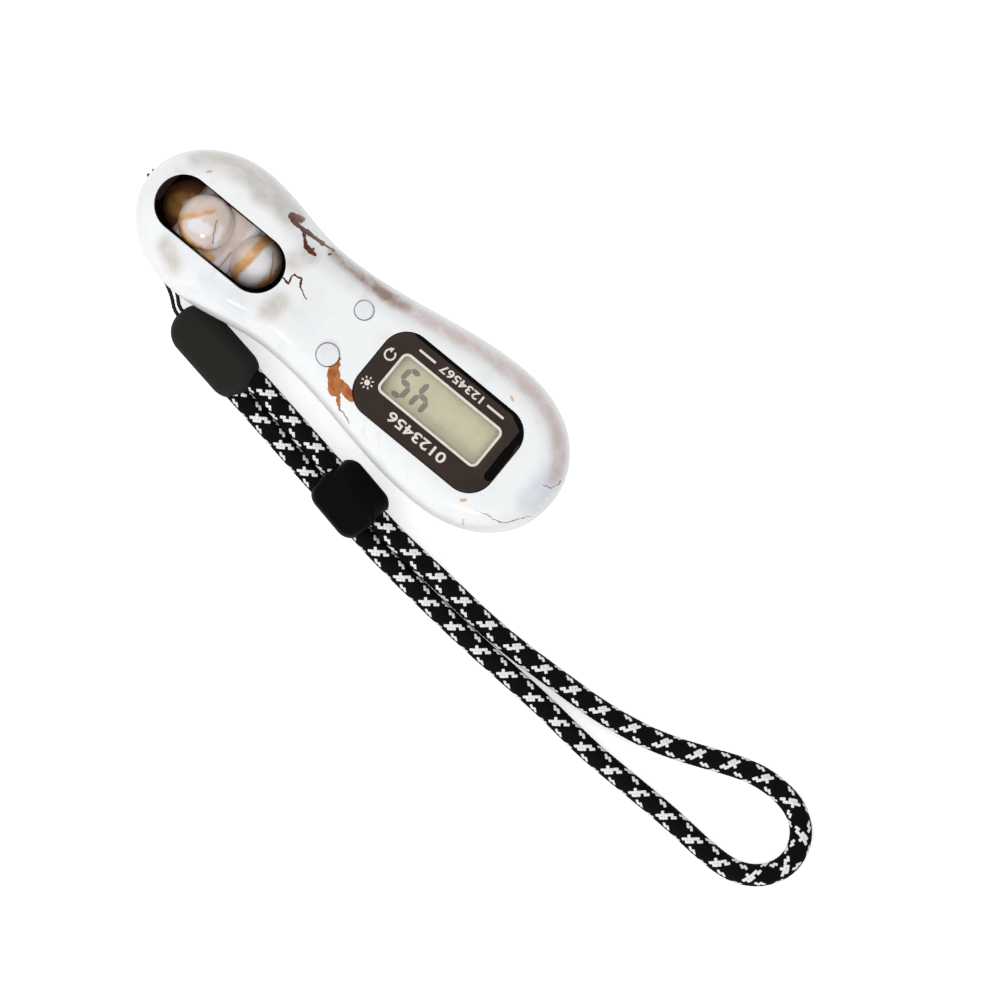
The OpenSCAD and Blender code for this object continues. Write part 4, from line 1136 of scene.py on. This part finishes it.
class TALLY_OT_strap_fittings(PieceOperator):
    """Makes the strap's end cap and its slider"""

    bl_idname = "tally.strap_fittings"
    bl_label = "Strap fittings"

    def execute(self, context):
        """The cap is a flat pebble, and the slider a rounded brick with a slot for the two cords."""
        c = context.scene.tally_finishes
        s = in_mm(context.scene.tally_strap)
        self.cap(s, plain_finish("Matt black cap", c.cap_black, (0.014, 0.012, 0.010), 0.7, 2.2, 0.012,
                                 Specular_IOR_Level=0.2))
        self.slider(s, plain_finish("Satin black slider", c.slider_black, (0.0016, 0.0013, 0.0011), 0.36,
                                    1.2, 0.004, Specular_IOR_Level=0.06))
        return {"FINISHED"}

    @staticmethod
    def cap(s, finish):
        """Rounded all round with half its thickness."""
        def full(y):
            return np.full(len(y), s.cap_t / 2)

        half = (s.cap_length / 2, s.cap_width / 2)
        points, faces = soft_block(half, s.cap_corner, s.cap_t, 14, full, full)
        piece("strap_end_cap_matt", on_strap(*points.T), faces, [finish], "housing",
              node="strap_end_cap")

    @staticmethod
    def slider(s, finish):
        """Its upper edge is a crest at +Y that eases into a full rounding; its +Y side leans in."""
        crest, edge, side = s.slider_crest, s.slider_corner, s.slider_width / 2
        crest_end, crest_fade, plan_corner = 0.2, 1.1, 1.4 * edge

        def over(y):
            return crest + (edge - crest) * ease((crest_end - y / side) / crest_fade)

        def under(y):
            return (over(y) + edge) / 2

        points, faces = soft_block((s.slider_length / 2, side), plan_corner, s.slider_t, 12, over, under)
        lean = np.maximum(points[:, 1], 0) / side
        points[:, 1] -= lean * (SLIDER_TUCK + SLIDER_LEAN * points[:, 2])
        points = turned(points, s.slider_roll, 0) + SLIDER_SHIFT
        points = turned(points, 0, STRAP_HEADING + s.slider_turn) + on_strap(SLIDER_AT)
        slider = piece("strap_slider_satin", points, faces, [finish], "slider",
                       node="strap_slider")
        bore = s.cord_d / 2 + CORD_ROOM
        y, z = rounded_loop((0, 0), (PAIR_HALF + bore, bore), bore * 0.999, 16).T
        ends = (SLIDER_AT - s.slider_length, SLIDER_AT + s.slider_length)
        carve(slider, rows_block([on_strap(end, y, z) for end in ends]), 0, "DIFFERENCE")


class TALLY_OT_cords(PieceOperator):
    """Makes the braided wrist cord and the thin string"""

    bl_idname = "tally.cords"
    bl_label = "Cords"

    def execute(self, context):
        """The braided cord first, then the string."""
        sizes = in_mm(context.scene.tally_strap)
        self.braid(sizes)
        self.string(sizes)
        return {"FINISHED"}

    @staticmethod
    def braid(sizes):
        """Braid: two sets of slanted yarns, each passing over two of the other set and under two.

        With s along the cord and a round it, p = n (s / pitch + a / 2 pi) and q = n (s / pitch -
        a / 2 pi) count the yarns of the two sets. The remainder of floor(p) - floor(q) by 4 tells
        which set is on top and which half of its float this is, and a float rises in its middle.
        """
        path, s = smooth_route(cord_route(), 0.28)
        sides, n, swell = 96, sizes.braid_yarns, 0.05
        a = np.arange(sides) / sides - BRAID_TURN
        turns = (s - BRAID_START) / sizes.braid_pitch
        p, q = n * (turns[:, None] + a), n * (turns[:, None] - a)
        k = (np.floor(p) - np.floor(q)) % 4
        across = np.where(k < 2, p % 1, q % 1) - 0.5
        along = (np.where(k < 2, q % 1, p % 1) + (np.abs(k - 1.5) > 1)) / 2 - 0.5
        rise = np.cos(np.pi * across) ** 0.7 * (1 - 1.6 * along ** 2)
        points, faces = tube(path, sizes.cord_d / 2 + swell - sizes.braid_rise * (1 - rise), sides)
        ring, side = np.meshgrid(np.arange(len(s) - 1), np.arange(sides), indexing="ij")
        round_it = ((side[..., None] + np.array([1, 1, 0, 0])) / sides - BRAID_TURN) * n
        down_it = turns[ring[..., None] + np.array([0, 1, 1, 0])] * n
        quads = np.stack([round_it, down_it], -1).reshape(-1, 2)
        pattern = np.vstack([quads, np.zeros((2 * sides, 2))])
        cord = piece("strap_cord_braid", points, faces, [yarn_finish(n)], "housing",
                     node="strap_cord", weld=False, pattern=pattern)

    @staticmethod
    def string(sizes):
        """Three strands laid together: the radius follows cos 3 (a - 2 pi s / lay)."""
        path, s = smooth_route(string_route(), 0.12)
        steps, strands, lay, groove = 20, 3, 2.4, 0.03
        a = 2 * np.pi * np.arange(steps) / steps
        twist = np.cos(strands * (a - 2 * np.pi * s[:, None] / lay))
        points, faces = tube(path, sizes.string_d / 2 - groove * (1 - twist), steps)
        finish = plain_finish("Black string", (0.006, 0.006, 0.007), (0.018, 0.017, 0.019), 0.65, 4.0,
                              0.02, Specular_IOR_Level=0.2)
        string = piece("strap_string_twist", points, faces, [finish], "housing",
                       node="strap_string", weld=False)


def round_hole(middle, r):
    """A round hole, as a rounded rectangle that is all corners."""
    return middle[:2], (r, r), r


class TALLY_OT_shells(PieceOperator):
    """Makes the two marbled shells of the body"""

    bl_idname = "tally.shells"
    bl_label = "Shells"

    def execute(self, context):
        """Both shells are half_shell surfaces; the rear one has the string's eye cut into its tip."""
        s = body_sizes()
        w = in_mm(context.scene.tally_wheel)
        d = in_mm(context.scene.tally_display)
        liner = liner_finish()
        panel_gap, cover_gap = 0.1, 0.15
        lip, lip_height, close = 0.75, 1.0, 0.03
        low, high = node_box("display_panel")
        thumb = w.window_width / 2
        holes = [((node_middle("wheel_axle")[0], 0), (w.window_length / 2, thumb), thumb),
                 ((low + high)[:2] / 2, (high - low)[:2] / 2 + panel_gap, d.panel_corner + panel_gap)]
        holes += [round_hole(node_middle(name), node_size(name, 0) / 2 - BUTTON_FLANGE + BUTTON_GAP)
                  for name in ("light_button", "reset_button")]
        join = [(lip, 0), (lip, lip_height + close), (s.wall, lip_height + close)]
        points, faces, numbers = half_shell(s, 1, holes, join, s.face_rim, (0, 1, 0, 0))
        front = piece("front_shell_marble", points, faces, [marble_finish("Marbled face", True), liner],
                      "housing", node="front_shell", numbers=numbers)
        add_clouds(front.data)

        holes = [round_hole(node_middle("battery_cover"), node_size("battery_cover", 0) / 2 + cover_gap)]
        holes += [round_hole((x, side * y), SCREW_R) for x, y in REAR_SCREWS for side in (-1, 1)]
        join = [(lip + close, 0), (lip + close, lip_height), (s.wall, lip_height)]
        points, faces, numbers = half_shell(s, -1, holes, join, s.back_rim, (0,) * len(holes))
        rear = piece("rear_shell_marble", points, faces, [marble_finish("Marbled back", False), liner],
                     "housing", node="rear_shell", numbers=numbers)
        x, z = EYE
        wide, tall, deep = EYE_HALF + EYE_WALL, EYE_ROOM + EYE_WALL, x + EYE_ROOM
        block = slab((s.wall - s.tip, -wide, z - tall), (deep + EYE_WALL, wide, z + tall))
        carve(rear, block, 1, "UNION")
        room = slab((-s.tip - 1, -EYE_HALF, z - EYE_ROOM), (deep, EYE_HALF, z + EYE_ROOM))
        carve(rear, room, 0, "DIFFERENCE")
        return {"FINISHED"}


class TALLY_OT_wheel(PieceOperator):
    """Makes the bead wheel"""

    bl_idname = "tally.wheel"
    bl_label = "Bead wheel"

    def execute(self, context):
        """A drum with rounded edges and a hub, turned about Y, and a sphere for each bead.

        The spheres' middles lie on a circle about the axle, at even angles less the rest tilt.
        At first a face's finish number tells whether it is the drum's or which bead's. The
        pattern map is worked out from that, and then all faces take the one finish.
        """
        w = in_mm(context.scene.tally_wheel)
        centre = node_middle("wheel_axle")
        r, half = w.drum_d / 2, w.drum_width / 2
        hub_half = node_size("bead_wheel", 1) / 2
        inward, under = quarter(7)
        rim = np.stack([r - DRUM_EDGE * inward, half - DRUM_EDGE * under], -1)
        face = np.stack([np.linspace(r - DRUM_EDGE, HUB_R, 5)[1:], np.full(4, half)], -1)
        side = np.vstack([rim, face, [[HUB_R, hub_half], [WHEEL_BORE, hub_half]]])
        drum, drum_faces = revolve(np.vstack([side, side[::-1] * [1, -1], rim[:1]]), 128)
        parts = [(drum[:, [0, 2, 1]] + centre, drum_faces[:, ::-1], 0)]
        lat = np.linspace(-np.pi / 2, np.pi / 2, 49)
        ball, ball_faces = revolve(np.stack([np.cos(lat), np.sin(lat)], -1) * w.bead_d / 2, 88)
        t = 2 * np.pi * np.arange(w.bead_count) / w.bead_count - w.rest_tilt
        middles = centre + w.bead_orbit * np.stack([np.sin(t), np.zeros_like(t), np.cos(t)], -1)
        parts += [(ball + middle, ball_faces, k + 1) for k, middle in enumerate(middles)]
        points, faces, owner = gather(*parts)
        wheel = piece("bead_wheel_resin", points, faces, [bead_finish()] * len(parts), "wheel",
                      node="bead_wheel", numbers=owner)
        mesh = wheel.data
        add_pattern(mesh, self.pattern(mesh, centre, r, middles))
        mesh.polygons.foreach_set("material_index", np.zeros(len(mesh.polygons), np.int32))
        while len(mesh.materials) > 1:
            mesh.materials.pop()
        return {"FINISHED"}

    @staticmethod
    def pattern(mesh, centre, r, middles):
        """Places on the pattern map: round the drum from its top, and each bead's own plan."""
        corner = np.empty(len(mesh.loops), np.int32)
        mesh.loops.foreach_get("vertex_index", corner)
        points = vertex_places(mesh)[corner] / MM
        count, owner = np.empty((2, len(mesh.polygons)), np.int32)
        mesh.polygons.foreach_get("loop_total", count)
        mesh.polygons.foreach_get("material_index", owner)
        face = np.repeat(np.arange(len(count)), count)
        first = np.cumsum(count) - count
        a = np.arctan2(points[:, 0] - centre[0], points[:, 2] - centre[2])
        start = a[first][face]
        a = start + (a - start + np.pi) % (2 * np.pi) - np.pi
        owner = owner[face]
        bead = np.maximum(owner - 1, 0)
        on_bead = points[:, 0] - middles[bead, 0] + BEAD_MAP + BEAD_STEP * bead
        return np.stack([np.where(owner == 0, a * r, on_bead), points[:, 1]], -1)


class TALLY_OT_buttons(PieceOperator):
    """Makes the light and reset buttons"""

    bl_idname = "tally.buttons"
    bl_label = "Buttons"

    def execute(self, context):
        """Each cap is turned about its own axis: a low dome, a rounded edge, a flange and a stem.

        The dome falls with the square of the radius, and a quarter circle rounds its edge.
        """
        c = context.scene.tally_finishes
        finish = plain_finish("Gloss white button", c.button_white, (0.84, 0.85, 0.88), 0.14, 0.5,
                              Coat_Weight=0.3, Coat_Roughness=0.05)
        edge, dome_fall, groove_depth, clear = 0.2, 0.08, 0.95, 0.05
        flange_t, stem, stem_length = 0.8, 1.0, 1.14
        inward, under = (k[::-1] for k in quarter(8))
        for name in ("light", "reset"):
            low, high = node_box(name + "_button")
            x, y = (low + high)[:2] / 2
            bottom, top = low[2], high[2]
            flange = (high - low)[0] / 2
            r = flange - BUTTON_FLANGE
            dome = np.stack([np.linspace(0, r - edge, 9), np.full(9, top)], -1)
            dome[:, 1] -= dome_fall * (dome[:, 0] / r) ** 2
            rim = np.stack([r - edge * inward, dome[-1, 1] - edge * under], -1)
            groove, wide = top - groove_depth, r + BUTTON_GAP - clear
            seat = bottom + stem_length
            ledge = seat + flange_t
            skirt = [[r, groove], [wide, groove - clear], [wide, ledge], [flange, ledge],
                     [flange, seat], [stem, seat], [stem, bottom], [0, bottom]]
            points, faces = revolve(np.vstack([dome, rim[1:], skirt]), 64)
            piece(name + "_button_cap", points + [x, y, 0], faces, [finish], name + "_key",
                  node=name + "_button")
        return {"FINISHED"}


def flat_ring(centre, outer, inner, low, high):
    """A flat frame between two rounded rectangles, each a (half size, corner), with all its sides."""
    out, inn = (rounded_loop(centre, half, corner, 14) for half, corner in (outer, inner))
    rows = [at_height(loop, z) for loop, z in ((inn, low), (out, low), (out, high), (inn, high))]
    return np.stack(rows), grid_faces(len(rows), len(out), close_rows=True, close_columns=True)


def flat_shape(loop, low, high):
    """A flat plate with the outline of a loop of points."""
    return rows_block([at_height(loop, z) for z in (low, high)])


def flat_piece(name, parts, finish):
    """A piece of the housing made of several flat parts."""
    points, faces, _ = gather(*[(*part, 0) for part in parts])
    piece(name, points, faces, [finish], "housing", smooth=False)


def bar_loop(a, b, half):
    """Outline of a bar from one point to another, with pointed tips."""
    run = (b - a) / np.linalg.norm(b - a)
    across = np.array([-run[1], run[0]])
    left, right = half * (run + across), half * (run - across)
    return np.array([a, a + right, b - left, b, b - right, a + left])


def arc_loop(centre, r, half, start, end):
    """Outline of a stroke along part of a circle, from one angle to another in degrees."""
    ray = rays(np.linspace(start, end, 28))
    return np.vstack([ray * (r + half), ray[::-1] * (r - half)]) + centre


def rays(degrees):
    """Unit vectors in plan at those angles from +X."""
    t = np.radians(degrees)
    return np.stack([np.cos(t), np.sin(t)], -1)


def numbers_mesh(text, height, width, centre, low, high):
    """Plain numbers as a flat mesh of that height and width about a centre, read from +X to -X."""
    curve = bpy.data.curves.new("numbers", "FONT")
    curve.body, curve.extrude, curve.offset, curve.resolution_u = text, 0.1, 0.02, 5
    source = new_object("numbers", curve)
    mesh = bpy.data.meshes.new_from_object(source.evaluated_get(bpy.context.evaluated_depsgraph_get()))
    points = vertex_places(mesh)
    faces = [list(p.vertices) for p in mesh.polygons]
    first, last = points.min(0), points.max(0)
    points = (points - (first + last) / 2) / (last - first) * [-width, -height, high - low]
    bpy.data.objects.remove(source)
    bpy.data.curves.remove(curve)
    bpy.data.meshes.remove(mesh)
    return points + [*centre, (low + high) / 2], faces


SEGMENTS = {"a": ((0, 2), (1, 2)), "b": ((1, 1), (1, 2)), "c": ((1, 0), (1, 1)), "d": ((0, 0), (1, 0)),
            "e": ((0, 0), (0, 1)), "f": ((0, 1), (0, 2)), "g": ((0, 1), (1, 1))}
DIGITS = {"4": "bcfg", "5": "acdfg"}


class TALLY_OT_display(PieceOperator):
    """Makes the display panel, its print and its digits"""

    bl_idname = "tally.display"
    bl_label = "Display"

    def execute(self, context):
        """The panel is a frame of stacked rounded rectangles, drawn in along a quarter circle at the top.

        The print and the digits are thin flat shapes on it and on the glass.
        """
        d = in_mm(context.scene.tally_display)
        c = context.scene.tally_finishes
        box_low, box_high = node_box("display_panel")
        low, top, edge, corner = box_low[2], box_high[2], d.panel_edge, d.panel_corner
        middle, half = (box_low + box_high)[:2] / 2, (box_high - box_low)[:2] / 2
        view = np.array([d.view_length, d.view_width]) / 2
        pane = middle + [0, d.view_shift]
        steps = 20
        loops = [(pane, view, d.view_corner, low), (middle, half, corner, low)]
        loops += [(middle, half - edge * k, corner - edge * k, top - edge * drop)
                  for k, drop in zip(*quarter(8))]
        loops += [(pane, view + k, d.view_corner + k, top - drop)
                  for k, drop in ((0.1, 0), (0.03, 0.03), (0, 0.1))]
        rows = [at_height(rounded_loop(m, h, r, steps), z) for m, h, r, z in loops]
        faces = grid_faces(len(rows), 4 * steps, close_rows=True, close_columns=True)
        piece("display_panel_gloss", np.stack(rows), faces, [panel_finish(box_low, box_high)], "housing",
              node="display_panel")
        self.prints(d, c, middle, pane, view, top)
        self.digits(d, c, middle[0], pane[1])
        return {"FINISHED"}

    @staticmethod
    def prints(d, c, middle, pane, view, top):
        """The pale line round the window, two dashes, plain numbers, and a lamp and a reset sign."""
        pale = plain_finish("Pale print", c.print_pale, (0.76, 0.69, 0.62), 0.45, 0.8)
        low, high = top - d.print_rise, top + d.print_rise
        line = view + 0.02
        outer, inner = (line + d.line_width, d.view_corner + 0.5), (line, d.view_corner)
        parts = [flat_ring(pane, outer, inner, low, high)]
        for text, height, width, place in (("1234567", 1.5, 9.0, (0, 6.25)),
                                           ("0123456", 1.9, 12.2, (-0.1, -5.6))):
            parts.append(numbers_mesh(text, height, width, middle + place, low, high))
        shapes = [rounded_loop(middle + [x, 6.2], (half, 0.2), 0.08, 4)
                  for x, half in ((-7.35, 1.75), (7.425, 1.775))]

        lamp = middle + [-12.45, -3.7]
        shapes.append(rounded_loop(lamp, (0.5, 0.5), 0.499, 8))
        shapes += [bar_loop(lamp + 0.7 * ray, lamp + 1.2 * ray, 0.13) for ray in rays(np.arange(8) * 45)]
        reset, r = middle + [-12.45, 2.4], 0.9
        shapes.append(arc_loop(reset, r, 0.16, 130, 420))
        shapes.append(reset + r * rays(112) + [[0.3, 0.5], [-0.45, 0.05], [0.25, -0.5]])
        parts += [flat_shape(loop, low, high) for loop in shapes]
        flat_piece("display_print", parts, pale)

    @staticmethod
    def digits(d, c, x, y):
        """Two digits of seven-bar form on the display's glass, read from +X to -X.

        Each bar is a strip with pointed tips, and x grows by the lean times y.
        """
        dark = plain_finish("Display segment", c.lcd_dark, (0.20, 0.18, 0.115), 0.5, 0.8)
        top = node_box("display_glass")[1][2]
        lean, gap, rise, drop = 0.07, 0.07, 0.03, 0.25
        half_size = np.array([d.digit_width, d.digit_height]) / 2
        parts = []
        for digit, shift in (("4", 3.45), ("5", 7.35)):
            for key in DIGITS[digit]:
                a, b = (np.array(SEGMENTS[key]) - [0.5, 1]) * [2, 1] * half_size
                run = (b - a) / np.linalg.norm(b - a)
                loop = bar_loop(a + gap * run, b - gap * run, d.bar_width / 2)
                loop[:, 0] += lean * loop[:, 1]
                parts.append(flat_shape([x - shift, y - drop] - loop, top, top + rise))
        flat_piece("display_digits", parts, dark)


class TALLY_OT_frame_finishes(PieceOperator):
    """Gives the carried-over nodes their finishes"""

    bl_idname = "tally.frame_finishes"
    bl_label = "Inner pieces"

    def execute(self, context):
        """Each node that keeps its own solid gets a mottled finish of its class."""
        c = context.scene.tally_finishes
        kept = (
            (plain_finish("Bright steel", (0.60, 0.60, 0.61), (0.48, 0.48, 0.49), 0.28, 1.5, 0.004, 1.0),
             "shell_screws board_screws cradle_screw axle_clips wheel_axle eye_pin count_magnets "
             "button_cells"),
            (plain_finish("Bright brass", (0.74, 0.55, 0.24), (0.62, 0.44, 0.18), 0.3, 1.5, 0.004, 1.0),
             "cell_top_contact cell_side_contact cover_contact"),
            (plain_finish("Gloss white cover", (0.86, 0.87, 0.88), (0.78, 0.79, 0.81), 0.2, 0.4),
             "battery_cover light_guide display_lamp wheel_washers"),
            (plain_finish("Black rubber", (0.010, 0.010, 0.010), (0.018, 0.018, 0.018), 0.7, 2.0, 0.01),
             "cover_seal contact_strips chip_cover light_switch reset_switch"),
            (plain_finish("Display ground", c.lcd_ground, (0.60, 0.55, 0.36), 0.35, 0.35),
             "display_glass"),
            # The cradle's brown partly paints the shade and the amber bead reflections deep in the head
            # end
            (plain_finish("Brown cradle and interior shade", (0.30, 0.18, 0.12), (0.22, 0.13, 0.09), 0.5, 1.2),
             "wheel_cradle"),
            (plain_finish("Solder resist", (0.012, 0.11, 0.04), (0.02, 0.15, 0.06), 0.3, 0.8),
             "circuit_board"),
            (plain_finish("Sensor glass", (0.50, 0.66, 0.58), (0.56, 0.70, 0.62), 0.1, 0.8),
             "count_sensor"),
            (plain_finish("Red plunger", (0.42, 0.03, 0.012), (0.50, 0.05, 0.02), 0.4, 0.8),
             "light_plunger reset_plunger"),
            (plain_finish("Clear pane", (0.9, 0.9, 0.88), (0.86, 0.86, 0.84), 0.06, 0.5, Alpha=0.06),
             "display_window"),
        )
        for finish, names in kept:
            for name in names.split():
                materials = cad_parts[name].data.materials
                materials.clear()
                materials.append(finish)
        return {"FINISHED"}


class TALLY_OT_stage(PieceOperator):
    """Makes the pale floor, the lamps and the world"""

    bl_idname = "tally.stage"
    bl_label = "Stage"

    def execute(self, context):
        """The floor glows white to the camera and to reflections, and keeps the soft shadow."""
        seen_glow, mirrored_glow, world_light = 0.55, 0.1, 0.63
        floor = Finish("Pale floor").set(Base_Color=(0.92, 0.92, 0.92), Roughness=0.9,
                                         Specular_IOR_Level=0.1, Emission_Color=(1, 1, 1))
        rays_of = floor.node("ShaderNodeLightPath").outputs
        mirrored = floor.math("MAXIMUM", rays_of["Is Glossy Ray"], rays_of["Is Transmission Ray"])
        seen = floor.math("MULTIPLY", rays_of["Is Camera Ray"], seen_glow)
        glow = floor.math("MAXIMUM", seen, floor.math("MULTIPLY", mirrored, mirrored_glow))
        floor.link("Emission Strength", glow)
        mesh = bpy.data.meshes.new("floor")
        r, z = 3.0, -0.0002
        mesh.from_pydata([(-r, -r, z), (r, -r, z), (r, r, z), (-r, r, z)], [], [(0, 1, 2, 3)])
        mesh.materials.append(floor.material)
        new_object("floor", mesh)

        world = bpy.data.worlds.new("Studio")
        world.use_nodes = True
        background = world.node_tree.nodes["Background"].inputs
        background["Color"].default_value = (1, 1, 1, 1)
        background["Strength"].default_value = world_light
        context.scene.world = world
        aim = Vector((0, 0, 0.01))
        for name, place, size, power in (("Key", Vector((0.28, -0.62, 0.43)), 0.2, 1.6),
                                         ("Top", Vector((-0.52, 0.08, 0.80)), 0.7, 2.4)):
            lamp = bpy.data.lights.new(name, "AREA")
            lamp.size, lamp.energy = size, power
            turn = (aim - place).to_track_quat("-Z", "Y").to_matrix()
            new_object(name, lamp).matrix_world = Matrix.Translation(place) @ turn.to_4x4()
        context.scene.view_settings.view_transform = "Standard"
        return {"FINISHED"}


class TALLY_PT_panel(bpy.types.Panel):
    """Lists the steps that build the counter"""

    bl_idname = "TALLY_PT_panel"
    bl_label = "Tally Counter"
    bl_space_type = "VIEW_3D"
    bl_region_type = "UI"
    bl_category = "Tally Counter"

    def draw(self, context):
        """One button for each step."""
        for step in STEPS:
            self.layout.operator(step.bl_idname)


STEPS = (TALLY_OT_camera, TALLY_OT_strap_fittings, TALLY_OT_cords, TALLY_OT_shells, TALLY_OT_wheel,
         TALLY_OT_buttons, TALLY_OT_display, TALLY_OT_frame_finishes, TALLY_OT_stage)
GROUPS = {"tally_body": BodySizes, "tally_wheel": WheelSizes, "tally_display": DisplaySizes,
          "tally_strap": StrapSizes, "tally_finishes": Finishes}
CLASSES = (*GROUPS.values(), *STEPS, TALLY_PT_panel)


def register():
    """Registers the classes and hangs the property groups on the scene."""
    for cls in CLASSES:
        bpy.utils.register_class(cls)
    for key, group in GROUPS.items():
        setattr(bpy.types.Scene, key, PointerProperty(type=group))


def unregister():
    """Takes the property groups and the classes away again."""
    for key in GROUPS:
        delattr(bpy.types.Scene, key)
    for cls in reversed(CLASSES):
        bpy.utils.unregister_class(cls)


def main():
    """Builds every piece in order."""
    register()
    for step in STEPS:
        getattr(bpy.ops.tally, step.bl_idname.split(".")[1])()


if __name__ == "__main__":
    main()
